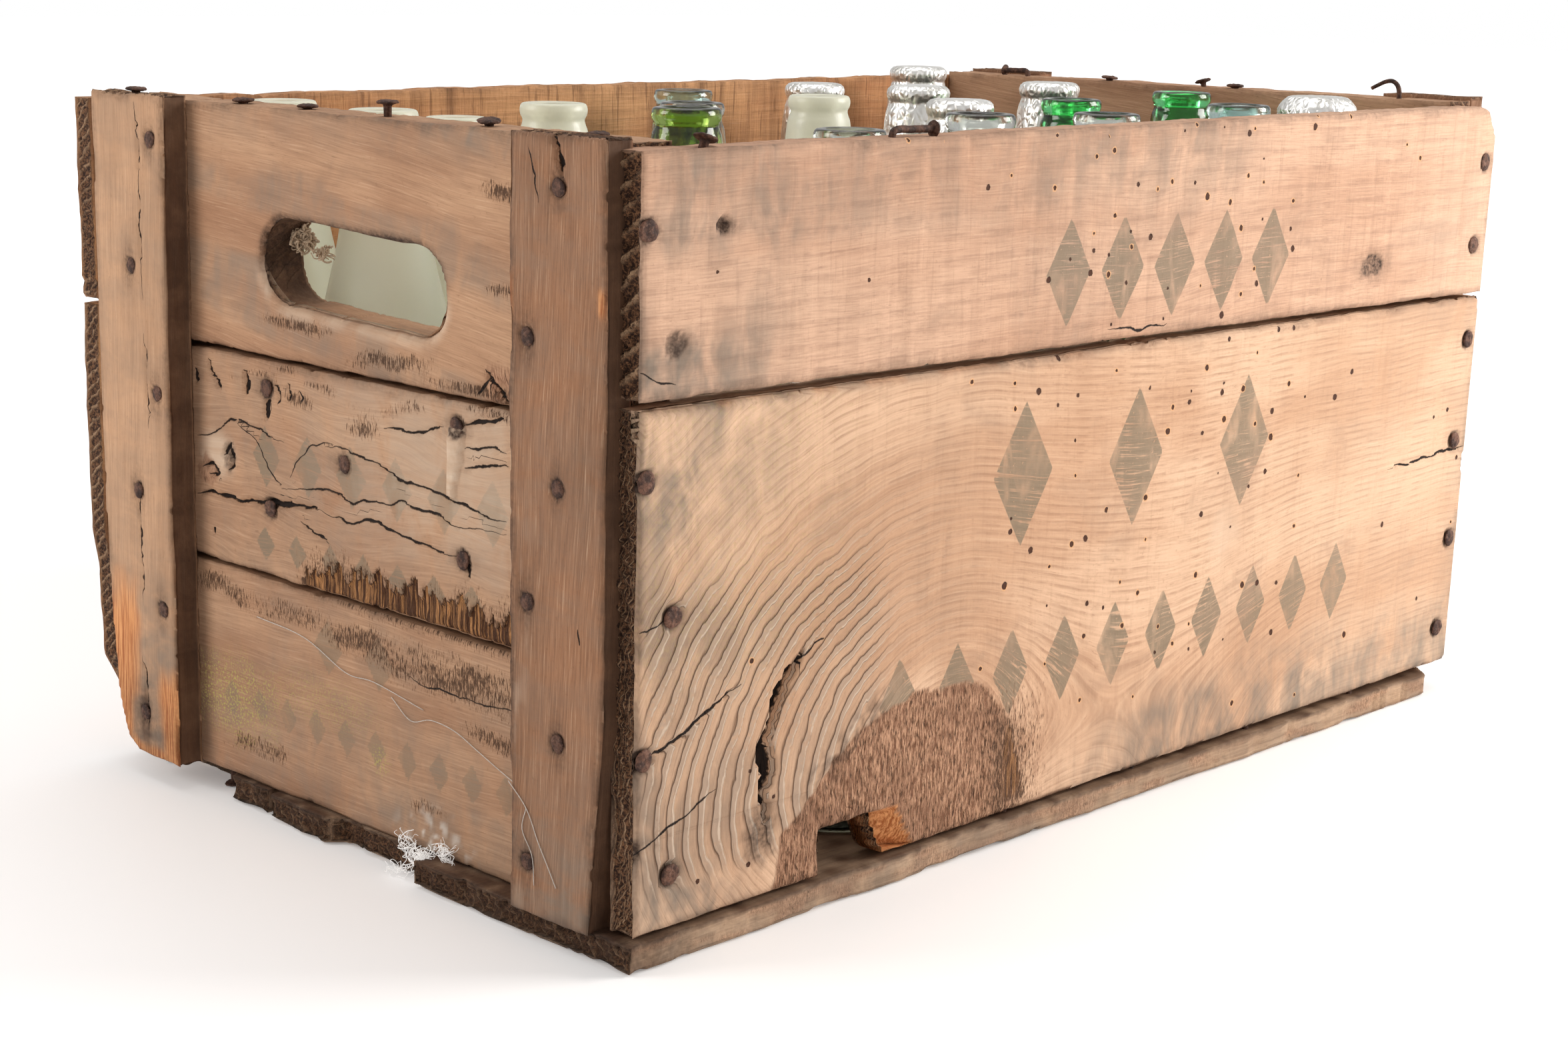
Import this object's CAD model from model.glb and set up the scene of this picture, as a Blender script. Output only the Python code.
import math

import bpy
import numpy as np
from mathutils import Matrix, Vector


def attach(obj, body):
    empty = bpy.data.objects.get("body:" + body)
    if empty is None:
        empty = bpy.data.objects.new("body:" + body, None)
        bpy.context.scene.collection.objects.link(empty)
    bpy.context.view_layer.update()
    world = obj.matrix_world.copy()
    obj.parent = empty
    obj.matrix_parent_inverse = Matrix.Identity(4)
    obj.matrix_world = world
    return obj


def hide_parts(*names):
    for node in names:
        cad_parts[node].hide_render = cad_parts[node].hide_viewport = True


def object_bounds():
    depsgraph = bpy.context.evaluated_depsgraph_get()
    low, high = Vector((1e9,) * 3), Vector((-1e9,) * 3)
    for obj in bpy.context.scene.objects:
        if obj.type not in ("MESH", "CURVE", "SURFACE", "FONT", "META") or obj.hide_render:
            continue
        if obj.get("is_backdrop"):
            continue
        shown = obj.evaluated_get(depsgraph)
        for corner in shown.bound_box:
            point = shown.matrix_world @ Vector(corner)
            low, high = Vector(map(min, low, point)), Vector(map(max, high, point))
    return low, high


# The worn bottle crate and its bottles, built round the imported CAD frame.
# Lengths in this script are millimetres unless a name ends in _m; X runs along the crate, Y across, Z up.
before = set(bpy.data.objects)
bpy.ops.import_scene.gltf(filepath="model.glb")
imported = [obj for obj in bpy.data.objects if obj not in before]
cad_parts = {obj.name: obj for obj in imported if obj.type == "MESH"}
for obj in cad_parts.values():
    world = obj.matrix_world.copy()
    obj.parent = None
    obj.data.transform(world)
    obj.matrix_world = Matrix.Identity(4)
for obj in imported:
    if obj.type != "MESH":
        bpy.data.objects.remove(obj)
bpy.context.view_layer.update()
MM = 0.001

# ------------------------------------------------------------------ camera, first
CAMERA_AT = (-782.68, -729.85, 322.07)
YAW, PITCH, ROLL = 0.76884, -0.21693, 0.021634

ahead = Vector((math.cos(PITCH) * math.cos(YAW), math.cos(PITCH) * math.sin(YAW), math.sin(PITCH)))
level = Vector((math.sin(YAW), -math.cos(YAW), 0))
upward = level.cross(ahead)
cam_x = level * math.cos(ROLL) + upward * math.sin(ROLL)
cam_y = upward * math.cos(ROLL) - level * math.sin(ROLL)
camera = bpy.data.objects.new("camera", bpy.data.cameras.new("camera"))
bpy.context.scene.collection.objects.link(camera)
camera.matrix_world = Matrix.Translation(Vector(CAMERA_AT) * MM) @ Matrix(
    (cam_x, cam_y, -ahead)).transposed().to_4x4()
camera.data.lens = 59.33
camera.data.clip_start, camera.data.clip_end = 0.05, 60
bpy.context.scene.camera = camera

# ------------------------------------------------------------------ small maths


def lattice(i, j, seed):
    """A repeatable random number from 0 to 1 for each lattice point."""
    h = (i * 374761393 + j * 668265263 + seed * 974634777) & 0xFFFFFFFF
    h = ((h ^ (h >> 13)) * 1274126177) & 0xFFFFFFFF
    return ((h ^ (h >> 16)) & 0xFFFF) / 65535.0


def noise(x, y, seed=0):
    """Smooth noise from -1 to 1 with features one unit across."""
    x, y = np.broadcast_arrays(np.asarray(x, float), np.asarray(y, float))
    i, j = np.floor(x).astype(np.int64), np.floor(y).astype(np.int64)
    fx, fy = x - i, y - j
    fx, fy = fx * fx * (3 - 2 * fx), fy * fy * (3 - 2 * fy)
    low = lattice(i, j, seed) * (1 - fx) + lattice(i + 1, j, seed) * fx
    high = lattice(i, j + 1, seed) * (1 - fx) + lattice(i + 1, j + 1, seed) * fx
    return 2 * (low * (1 - fy) + high * fy) - 1


def fbm(x, y, seed=0, octaves=3):
    total, size = 0, 1.0
    for k in range(octaves):
        total = total + size * noise(x * 2**k, y * 2**k, seed + 31 * k)
        size /= 2
    return total / 1.7


def ease(a, b, x):
    """0 at a, 1 at b, smooth between."""
    t = np.clip((np.asarray(x, float) - a) / (b - a), 0, 1)
    return t * t * (3 - 2 * t)


def inside_polygon(u, v, points):
    """Signed distance to a closed outline, positive inside."""
    best, inside = np.full(np.shape(u), 1e9), np.zeros(np.shape(u), bool)
    for (ax, ay), (bx, by) in zip(points, points[1:] + points[:1]):
        ex, ey = bx - ax, by - ay
        t = np.clip(((u - ax) * ex + (v - ay) * ey) / max(ex * ex + ey * ey, 1e-9), 0, 1)
        best = np.minimum(best, np.hypot(u - ax - t * ex, v - ay - t * ey))
        crosses = (ay > v) != (by > v)
        inside ^= crosses & (u < ax + (v - ay) * ex / (ey if abs(ey) > 1e-9 else 1e-9))
    return np.where(inside, best, -best)


def line_distance(u, v, points):
    """Signed distance to an open line, and how far along it the nearest point is, from 0 to 1."""
    best, signed, along = np.full(np.shape(u), 1e9), np.zeros(np.shape(u)), np.zeros(np.shape(u))
    lengths = [math.dist(a, b) for a, b in zip(points, points[1:])]
    gone, whole = 0.0, sum(lengths)
    for (ax, ay), (bx, by), length in zip(points, points[1:], lengths):
        ex, ey = (bx - ax) / length, (by - ay) / length
        t = np.clip((u - ax) * ex + (v - ay) * ey, 0, length)
        d = np.hypot(u - ax - t * ex, v - ay - t * ey)
        side = np.sign((u - ax) * ey - (v - ay) * ex)
        near = d < best
        best = np.where(near, d, best)
        signed = np.where(near, d * np.where(side == 0, 1, side), signed)
        along = np.where(near, (gone + t) / whole, along)
        gone += length
    return signed, along


# ------------------------------------------------------------------ meshes


def mesh_object(name, verts_mm, faces, attributes=None, smooth=True):
    """A mesh object from points in millimetres and arrays of 3 or 4 corner faces."""
    mesh = bpy.data.meshes.new(name)
    verts = np.asarray(verts_mm, float) * MM
    faces = [np.asarray(f, np.int64) for f in faces if len(f)]
    loops = np.concatenate([f.ravel() for f in faces])
    sizes = np.concatenate([np.full(len(f), f.shape[1]) for f in faces])
    mesh.vertices.add(len(verts))
    mesh.vertices.foreach_set("co", verts.astype(np.float32).ravel())
    mesh.loops.add(len(loops))
    mesh.loops.foreach_set("vertex_index", loops.astype(np.int32))
    mesh.polygons.add(len(sizes))
    mesh.polygons.foreach_set("loop_start", (np.cumsum(sizes) - sizes).astype(np.int32))
    mesh.update(calc_edges=True)
    mesh.polygons.foreach_set("use_smooth", np.full(len(sizes), smooth))
    for key, values in (attributes or {}).items():
        values = np.asarray(values, np.float32)
        kind = "FLOAT_VECTOR" if values.ndim == 2 else "FLOAT"
        attribute = mesh.attributes.new(key, kind, "POINT")
        attribute.data.foreach_set("vector" if values.ndim == 2 else "value", values.ravel())
    mesh.validate()
    obj = bpy.data.objects.new(name, mesh)
    bpy.context.scene.collection.objects.link(obj)
    return obj


def finish_piece(obj, material, body, slot, *nodes):
    obj.data.materials.append(material)
    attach(obj, body)
    if nodes:
        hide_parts(*nodes)
    return obj


class Parts:
    """Several small closed shapes gathered into one mesh."""

    def __init__(self):
        self.verts, self.faces, self.count, self.values = [], {3: [], 4: []}, 0, []

    def add(self, verts, faces, value=0.0):
        verts = np.asarray(verts, float).reshape(-1, 3)
        for f in faces:
            f = np.asarray(f, np.int64)
            if len(f):
                self.faces[f.shape[1]].append(f + self.count)
        self.verts.append(verts)
        self.values.append(np.full(len(verts), value))
        self.count += len(verts)

    def object(self, name, smooth=True):
        faces = [np.concatenate(f) for f in self.faces.values() if f]
        return mesh_object(name, np.concatenate(self.verts), faces,
                           {"tint": np.concatenate(self.values)}, smooth)


def grid_faces(rows, cols, wrap):
    """Quads of a rows by cols grid of points; wrap joins the last column to the first."""
    r, c = np.meshgrid(np.arange(rows - 1), np.arange(cols if wrap else cols - 1), indexing="ij")
    r, c = r.ravel(), c.ravel()
    n = (c + 1) % cols
    return np.stack([r * cols + c, r * cols + n, (r + 1) * cols + n, (r + 1) * cols + c], 1)


def tube(points, radius, sides=8):
    """A closed tube along points; radius is one number or one for each point."""
    points = np.asarray(points, float)
    radius = np.broadcast_to(radius, len(points))
    tangent = np.gradient(points, axis=0)
    tangent /= np.linalg.norm(tangent, axis=1)[:, None] + 1e-12
    side = np.cross(tangent[0], [0.31, 0.17, 0.93])
    rings = []
    for p, t, r in zip(points, tangent, radius):
        side = side - t * (side @ t)
        side = side / np.linalg.norm(side)
        other = np.cross(t, side)
        a = np.arange(sides) * 2 * math.pi / sides
        rings.append(p + r * (np.cos(a)[:, None] * side + np.sin(a)[:, None] * other))
    verts = np.concatenate(rings + [points[:1], points[-1:]])
    k = np.arange(sides)
    n, last, total = (k + 1) % sides, (len(points) - 1) * sides, len(points) * sides
    caps = np.concatenate([np.stack([n, k, np.full(sides, total)], 1),
                           np.stack([last + k, last + n, np.full(sides, total + 1)], 1)])
    return verts, [grid_faces(len(points), sides, True), caps]


def lathe(profile, sides, dent=None):
    """A closed shape turned about Z from a profile of (radius, height) that starts and ends on the axis.
    dent(angle, height, radius) gives how far each point moves outwards."""
    profile = np.asarray(profile, float)
    a = np.arange(sides) * 2 * math.pi / sides
    r = profile[1:-1, 0][:, None] + 0 * a
    z = profile[1:-1, 1][:, None] + 0 * a
    if dent is not None:
        r = r + dent(a[None, :] + 0 * z, z, r)
    body = np.stack([r * np.cos(a), r * np.sin(a), z], -1).reshape(-1, 3)
    verts = np.concatenate([body, [[0, 0, profile[0, 1]]], [[0, 0, profile[-1, 1]]]])
    rows, k = len(profile) - 2, np.arange(sides)
    n, total = (k + 1) % sides, rows * sides
    caps = np.concatenate([np.stack([n, k, np.full(sides, total)], 1),
                           np.stack([(rows - 1) * sides + k, (rows - 1) * sides + n,
                                     np.full(sides, total + 1)], 1)])
    return verts, [grid_faces(rows, sides, True), caps]


def rounded(points, pieces=4):
    """A smooth line through the points, with a few points between each pair."""
    p = np.asarray(points, float)
    p = np.concatenate([2 * p[:1] - p[1:2], p, 2 * p[-1:] - p[-2:-1]])
    t = np.arange(pieces)[:, None] / pieces
    out = []
    for a, b, c, d in zip(p, p[1:], p[2:], p[3:]):
        out.append(b + 0.5 * t * (c - a + t * (2 * a - 5 * b + 4 * c - d + t * (3 * (b - c) + d - a))))
    return np.concatenate(out + [p[-2:-1]])


# ------------------------------------------------------------------ materials


class Nodes:
    """Builds a node material; a value is a number, a tuple or another node's output."""

    def __init__(self, name):
        self.material = bpy.data.materials.new(name)
        self.material.use_nodes = True
        self.tree = self.material.node_tree
        self.tree.nodes.clear()

    def node(self, kind, values, output=0, **settings):
        made = self.tree.nodes.new(kind)
        for key, value in settings.items():
            setattr(made, key, value)
        for key, value in values.items():
            socket = made.inputs[key]
            if isinstance(value, bpy.types.NodeSocket):
                self.tree.links.new(value, socket)
            elif socket.type == "RGBA" and len(value) == 3:
                socket.default_value = (*value, 1)
            else:
                socket.default_value = value
        return made.outputs[output] if output is not None else made

    def math(self, operation, a, b=0.0, c=0.0, clamp=False):
        return self.node("ShaderNodeMath", {0: a, 1: b, 2: c}, operation=operation, use_clamp=clamp)

    def mul(self, a, b):
        return self.math("MULTIPLY", a, b)

    def plus(self, a, b):
        return self.math("ADD", a, b)

    def mix(self, amount, a, b, blend="MIX"):
        return self.node("ShaderNodeMix", {0: amount, 6: a, 7: b}, 2, data_type="RGBA", blend_type=blend)

    def ease(self, value, low, high):
        return self.node("ShaderNodeMapRange", {0: value, 1: low, 2: high}, interpolation_type="SMOOTHSTEP")

    def attribute(self, name, output=1):
        made = self.tree.nodes.new("ShaderNodeAttribute")
        made.attribute_name = name
        return made.outputs["Vector" if output == 1 else "Fac"]

    def split(self, vector):
        made = self.node("ShaderNodeSeparateXYZ", {0: vector}, None)
        return made.outputs[0], made.outputs[1], made.outputs[2]

    def scaled(self, vector, by, shift=(0, 0, 0)):
        return self.node("ShaderNodeVectorMath", {0: vector, 1: by, 2: shift}, operation="MULTIPLY_ADD")

    def noise(self, vector, by=(1, 1, 1), detail=2.0, rough=0.5, shift=(0, 0, 0), distortion=0.0):
        return self.node("ShaderNodeTexNoise", {"Vector": self.scaled(vector, by, shift), "Scale": 1.0,
                                                "Detail": detail, "Roughness": rough,
                                                "Distortion": distortion})

    def surface(self, height_mm=None, **values):
        if height_mm is not None:
            values["Normal"] = self.node("ShaderNodeBump",
                                         {"Height": height_mm, "Distance": MM, "Strength": 1.0})
        shader = self.node("ShaderNodeBsdfPrincipled", {k.replace("_", " "): v for k, v in values.items()})
        self.node("ShaderNodeOutputMaterial", {0: shader}, None)
        return self.material


def rgb(r, g, b):
    """A screen colour of 0 to 255 as the renderer's own."""
    return tuple(((c / 255 + 0.055) / 1.055) ** 2.4 if c > 10 else c / 3294.6 for c in (r, g, b))


def wood(name, light, mid, dark, late=0.35, fibre=0.5, saw=0.0, blotch=0.5, seed=0.0, stripe=1.0):
    """Weathered softwood. Boards carry the grain, the rings and the masks of damage as attributes."""
    g = Nodes(name)
    grain, flat = g.attribute("grain"), g.attribute("flat")
    ring, crack = g.attribute("ring", 0), g.attribute("crack")
    dirt, fresh, patch = g.split(g.attribute("worn_a"))
    grey, worm, lichen = g.split(g.attribute("worn_b"))
    end, pale, ridge = g.split(g.attribute("worn_c"))
    stain, fleck, web = g.split(g.attribute("worn_d"))
    here = (seed * 3.7, seed * 1.9, seed)

    broad = g.noise(grain, (0.006, 0.022, 0.03), 3, 0.55, here)
    streak = g.noise(grain, (0.012, 0.21, 0.25), 4, 0.6, here)
    fine = g.noise(grain, (0.05, 1.7, 1.7), 3, 0.6, here)
    speck = g.noise(flat, (0.55, 0.6, 0.6), 3, 0.6, here)
    cloud = g.noise(flat, (0.021, 0.026, 0.03), 4, 0.6, here, 0.6)
    smear = g.noise(flat, (0.07, 0.035, 0.05), 3, 0.65, here, 0.4)

    colour = g.mix(g.ease(broad, 0.36, 0.62), mid, light)
    colour = g.mix(g.mul(g.ease(streak, 0.5, 0.76), 0.36 * stripe), colour, dark)
    colour = g.mix(g.mul(g.ease(streak, 0.46, 0.26), 0.3 * stripe), colour, light)

    # Growth rings: a soft rise to a thin dark late line, broken here and there
    turn = g.math("FRACT", g.plus(ring, g.mul(g.math("SUBTRACT", streak, 0.5), 0.3)))
    line = g.mul(g.ease(turn, 0.55, 0.88), g.ease(turn, 1.0, 0.93))
    broken = g.mul(g.ease(smear, 0.36, 0.62), g.math("SUBTRACT", 1.0, g.mul(ridge, 0.8)))
    colour = g.mix(g.mul(g.mul(line, broken), late), colour, dark)

    # Fine fibres
    colour = g.mix(g.mul(g.ease(fine, 0.42, 0.7), 0.34 * fibre), colour, dark)
    colour = g.mix(g.mul(g.ease(fine, 0.46, 0.24), 0.26 * fibre), colour, rgb(236, 204, 172))
    colour = g.mix(g.mul(g.ease(speck, 0.6, 0.78), 0.28), colour, dark)
    dash = g.noise(grain, (0.16, 2.4, 2.4), 2, 0.6, (5.0, here[1], 2.0))
    colour = g.mix(g.mul(g.ease(dash, 0.62, 0.74), 0.4), colour, dark)

    # Uneven bands left across the grain by the saw
    height = g.mul(fine, 0.09)
    if saw:
        bands = g.noise(flat, (0.085, 0.006, 0.02), 2, 0.5, here, 0.3)
        teeth = g.noise(flat, (0.42, 0.03, 0.1), 3, 0.55, here, 0.2)
        colour = g.mix(g.mul(g.ease(bands, 0.5, 0.66), 0.16 * saw), colour, dark)
        colour = g.mix(g.mul(g.ease(teeth, 0.56, 0.64), min(0.2 * saw, 0.5)), colour, dark)
        colour = g.mix(g.mul(g.ease(teeth, 0.44, 0.36), 0.1 * saw), colour, light)
        height = g.plus(height, g.mul(teeth, -0.3 * saw))

    # Faded, worn stencilled shapes
    paint = g.attribute("paint", 0)
    chipped = g.mul(g.ease(speck, 0.76, 0.62), g.ease(g.plus(fine, g.mul(smear, 0.5)), 0.98, 0.78))
    colour = g.mix(g.mul(g.mul(g.ease(paint, -0.15, 0.35), chipped), g.mul(g.ease(smear, 0.15, 0.5), 0.82)),
                   colour,
                   g.mix(fine, rgb(98, 88, 72), rgb(140, 126, 104)))

    # Grey weathering and clouds of grime
    colour = g.mix(g.mul(g.ease(cloud, 0.52, 0.75), blotch), colour, g.mix(streak, mid, rgb(122, 105, 92)))
    colour = g.mix(g.math("MULTIPLY", grey, g.ease(smear, 0.25, 0.75), clamp=True), colour,
                   g.mix(streak, rgb(96, 84, 74), rgb(154, 138, 122)))
    # Late wood left standing in weathered ridges, grey on top with a light and a dark side
    worn = g.math("FRACT", g.plus(g.mul(ring, 0.55), g.mul(g.math("SUBTRACT", smear, 0.5), 0.8)))
    top = g.mul(g.ease(worn, 0.0, 0.07), g.ease(worn, 0.5, 0.4))
    lit = g.mul(g.ease(worn, 0.0, 0.05), g.ease(worn, 0.16, 0.09))
    shade = g.mul(g.ease(worn, 0.4, 0.46), g.ease(worn, 0.62, 0.5))
    bare = g.math("MULTIPLY", ridge, g.ease(g.plus(speck, cloud), 0.7, 1.05))
    colour = g.mix(g.mul(ridge, 0.3), colour, g.mix(speck, rgb(120, 88, 64), rgb(180, 140, 108)))
    colour = g.mix(g.mul(bare, g.mul(top, 0.75)), colour,
                   g.mix(fine, rgb(146, 124, 106), rgb(186, 162, 142)))
    colour = g.mix(g.mul(bare, g.mul(lit, 0.6)), colour, rgb(214, 192, 170))
    colour = g.mix(g.mul(ridge, g.mul(shade, 0.6)), colour, rgb(104, 74, 54))
    colour = g.mix(g.math("MULTIPLY", pale, g.ease(smear, 0.2, 0.6), clamp=True), colour,
                   g.mix(streak, light, rgb(226, 208, 186)))

    # Rough brown wood where the surface is torn, with upright fibres and pits
    thread = g.noise(flat, (1.25, 0.2, 0.6), 4, 0.7, here)
    pit = g.ease(g.noise(flat, (0.8, 0.2, 0.6), 3, 0.6, (9.0, 4.0, seed)), 0.6, 0.72)
    torn = g.mix(g.ease(thread, 0.38, 0.6), rgb(116, 76, 54), rgb(204, 158, 126))
    torn = g.mix(g.ease(cloud, 0.4, 0.7), torn, g.mix(thread, rgb(108, 74, 56), rgb(170, 126, 98)))
    torn = g.mix(g.mul(pit, 0.9), torn, rgb(62, 34, 22))
    hair = g.noise(grain, (0.05, 1.1, 1.1), 3, 0.65, here)
    orange = g.mix(g.ease(hair, 0.36, 0.62), rgb(168, 96, 50), rgb(228, 160, 104))
    colour = g.mix(patch, colour, torn)
    colour = g.mix(fresh, colour, orange)

    # Short upright scars, and at full strength a band of torn splinters
    scar = g.noise(flat, (1.5, 0.3, 0.3), 3, 0.7, (2.0, here[1], 7.0))
    found = g.plus(scar, g.mul(g.math("MINIMUM", fleck, 0.7), 0.34))
    seen = g.ease(fleck, 0.0, 0.12)
    colour = g.mix(g.mul(seen, g.mul(g.ease(found, 0.56, 0.7), 0.5)), colour, rgb(132, 94, 66))
    colour = g.mix(g.mul(seen, g.mul(g.ease(found, 0.68, 0.8), 0.85)), colour, rgb(66, 42, 28))
    strand = g.noise(flat, (0.95, 0.03, 0.3), 3, 0.7, (2.0, here[1], 9.0))
    ripped = g.mix(g.ease(strand, 0.42, 0.54), rgb(186, 132, 84), rgb(84, 52, 32))
    colour = g.mix(g.ease(fleck, 0.7, 0.95), colour, ripped)

    # End grain
    pore = g.noise(flat, (0.85, 0.85, 0.85), 3, 0.75, here)
    across = g.mix(g.ease(pore, 0.42, 0.64), rgb(50, 27, 16), rgb(150, 106, 74))
    across = g.mix(g.mul(g.mul(line, g.ease(speck, 0.3, 0.55)), g.ease(smear, 0.3, 0.55)), across,
                   rgb(204, 164, 128))
    colour = g.mix(end, colour, across)

    colour = g.mix(g.math("MULTIPLY", stain, g.plus(0.75, g.mul(smear, 0.5)), clamp=True), colour,
                   g.mix(streak, rgb(60, 41, 30), rgb(112, 80, 58)))

    # Lichen, dirt, cracks and worm holes
    dust = g.noise(flat, (0.9, 0.9, 0.9), 3, 0.7, (3.0, 8.0, 1.0))
    colour = g.mix(g.mul(lichen, g.ease(dust, 0.5, 0.62)), colour, rgb(178, 166, 92))
    grime = g.mul(dirt, g.ease(g.plus(g.mul(smear, 0.6), g.mul(speck, 0.4)), 0.22, 0.66))
    colour = g.mix(g.math("MULTIPLY", grime, 1.25, clamp=True), colour, rgb(58, 42, 33))
    off, width, deep = g.split(crack)
    wobble = g.mul(g.math("SUBTRACT", speck, 0.5), 0.7)
    split = g.ease(g.math("SUBTRACT", width, g.math("ABSOLUTE", g.plus(off, wobble))), -0.12, 0.22)
    colour = g.mix(g.mul(split, deep), colour, rgb(30, 18, 12))
    cells = g.node("ShaderNodeTexVoronoi", {"Vector": g.scaled(flat, (0.085, 0.085, 0.0), here),
                                            "Scale": 1.0},
                   None, voronoi_dimensions="2D")
    picked, size, tone = g.split(cells.outputs["Color"])
    bored = g.math("SUBTRACT", g.plus(g.mul(g.mul(size, size), 0.075), 0.045), g.plus(
        cells.outputs["Distance"], g.mul(g.math("SUBTRACT", speck, 0.5), 0.11)))
    drawn = g.math("LESS_THAN", picked, worm)
    hole = g.mul(g.ease(bored, -0.012, 0.012), drawn)
    chip = g.mul(g.mul(g.ease(bored, -0.06, -0.03), drawn),
                 g.math("GREATER_THAN", g.plus(tone, g.mul(speck, 0.4)), 0.8))
    colour = g.mix(g.mul(chip, 0.7), colour, rgb(222, 168, 120))
    colour = g.mix(hole, colour, g.mix(speck, rgb(40, 22, 14), rgb(92, 54, 34)))
    colour = g.mix(web, colour, rgb(212, 204, 194))

    height = g.plus(height, g.mul(line, g.plus(g.mul(end, 0.9), 0.06)))
    height = g.plus(height, g.mul(speck, 0.12))
    height = g.plus(height, g.plus(g.mul(g.mul(thread, patch), 0.8), g.mul(g.mul(hair, fresh), 0.5)))
    height = g.math("SUBTRACT", height, g.mul(g.mul(pit, patch), 0.4))
    height = g.plus(height, g.mul(g.mul(ridge, top), 0.7))
    height = g.math("SUBTRACT", height, g.mul(g.mul(seen, g.ease(found, 0.66, 0.8)), 0.4))
    height = g.math("SUBTRACT", height, g.mul(g.mul(g.ease(fleck, 0.7, 0.95), strand), 2.0))
    height = g.math("SUBTRACT", height, g.mul(split, 0.8))
    height = g.math("SUBTRACT", height, g.mul(hole, 1.2))
    height = g.plus(height, g.mul(g.mul(pore, end), 2.2))
    rough = g.plus(g.mul(speck, 0.2), 0.66)
    return g.surface(height, Base_Color=colour, Roughness=rough, Specular_IOR_Level=0.22)


def rust():
    g = Nodes("rusty_iron")
    place = g.node("ShaderNodeTexCoord", {}, "Object")
    big = g.noise(place, (260, 260, 260), 4, 0.65)
    small = g.noise(place, (1100, 1100, 1100), 3, 0.7)
    tint = g.attribute("tint", 0)
    colour = g.mix(g.ease(big, 0.38, 0.62), rgb(58, 38, 31), rgb(112, 78, 62))
    colour = g.mix(g.mul(g.ease(small, 0.5, 0.68), 0.7), colour, rgb(52, 36, 32))
    colour = g.mix(g.mul(g.ease(small, 0.45, 0.3), 0.5), colour, rgb(138, 106, 90))
    colour = g.mix(tint, colour, rgb(36, 27, 24))
    height = g.plus(g.mul(big, 0.35), g.mul(small, 0.25))
    return g.surface(height, Base_Color=colour, Roughness=g.plus(g.mul(small, 0.3), 0.55),
                     Metallic=0.25, Specular_IOR_Level=0.35)


def glass(name, colour, roughness, dust, milky=0.0, glow=0.0):
    """Bottle glass; dust is how much dull film lies on it, milky how frosted it looks."""
    g = Nodes(name)
    place = g.node("ShaderNodeTexCoord", {}, "Object")
    film = g.noise(place, (55, 55, 24), 4, 0.6)
    grit = g.noise(place, (700, 700, 420), 3, 0.7)
    soft = g.node("ShaderNodeMath", {0: g.ease(film, 0.35, 0.7), 1: dust, 2: roughness},
                  operation="MULTIPLY_ADD")
    values = dict(Base_Color=colour, Roughness=soft, IOR=1.5, Transmission_Weight=1.0 - milky,
                  Emission_Color=colour, Emission_Strength=glow)
    return g.surface(g.mul(grit, 0.05 + 0.1 * milky), **values)


def foil_material():
    g = Nodes("crumpled_foil")
    place = g.node("ShaderNodeTexCoord", {}, "Object")
    fold = g.node("ShaderNodeTexVoronoi", {"Vector": g.scaled(place, (330, 330, 210)), "Scale": 1.0,
                                           "Randomness": 1.0}, 0, feature="DISTANCE_TO_EDGE")
    fine = g.noise(place, (900, 900, 500), 3, 0.6)
    big = g.noise(place, (90, 90, 60), 3, 0.6)
    colour = g.mix(g.ease(big, 0.4, 0.7), rgb(250, 249, 246), rgb(226, 224, 218))
    height = g.plus(g.mul(g.ease(fold, 0.0, 0.35), 0.28), g.mul(fine, 0.06))
    return g.surface(height, Base_Color=colour, Roughness=g.plus(g.mul(fine, 0.2), 0.26), Metallic=0.9)


FRONT_LIGHT, FRONT_MID, FRONT_DARK = rgb(219, 181, 150), rgb(199, 157, 125), rgb(142, 101, 74)
wood_front_top = wood("front_top_wood", rgb(212, 172, 144), rgb(194, 152, 124), rgb(128, 94, 76), 0.26, 0.8,
                      0.6, 0.6, 1.0, 0.35)
wood_front = wood("front_wood", FRONT_LIGHT, FRONT_MID, FRONT_DARK, 0.4, 0.7, 0.4, 0.5, 2.0, 0.45)
wood_end = wood("end_wood", rgb(186, 146, 114), rgb(163, 122, 93), rgb(112, 78, 56), 0.16, 0.8, 0.0, 0.5,
                3.0, 0.55)
wood_cleat = wood("cleat_wood", rgb(156, 112, 82), rgb(134, 94, 66), rgb(84, 54, 38), 0.1, 1.2, 0.1, 0.3,
                  4.0, 0.5)
wood_cleat_pale = wood("cleat_pale_wood", rgb(198, 156, 122), rgb(178, 138, 106), rgb(126, 92, 68), 0.08,
                       0.7, 0.15, 0.45, 5.0, 0.45)
wood_back = wood("back_wood", rgb(206, 154, 108), rgb(184, 128, 86), rgb(100, 64, 40), 0.2, 0.6, 2.4, 0.4,
                 6.0, 0.5)
wood_bottom = wood("bottom_wood", rgb(202, 170, 140), rgb(172, 140, 112), rgb(104, 78, 60), 0.35, 0.8, 0.3,
                   0.8, 7.0)
iron = rust()

# ------------------------------------------------------------------ boards

SIDES = {
    "front": lambda u, v, w: (u, -FRONT_Y - w, v),
    "back": lambda u, v, w: (u, FRONT_Y + w, v),
    "near": lambda u, v, w: (-END_X - w, u, v),
    "far": lambda u, v, w: (END_X + w, u, v),
    "near_cleat": lambda u, v, w: (-CLEAT_X - w, v, u),
    "far_cleat": lambda u, v, w: (CLEAT_X + w, v, u),
    "under": lambda u, v, w: (u, v, -w),
}
FRONT_Y, END_X, CLEAT_X = 154.75, 247.5, 258.5
LEAN = 4.5


def racked(points):
    """The whole frame has sagged a little: its far end leans out at the top."""
    points = np.array(points, float)
    share = ease(-260, 260, points[:, 0])
    points[:, 0] += LEAN * share * (points[:, 2] / 133 - 1)
    return points


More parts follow.
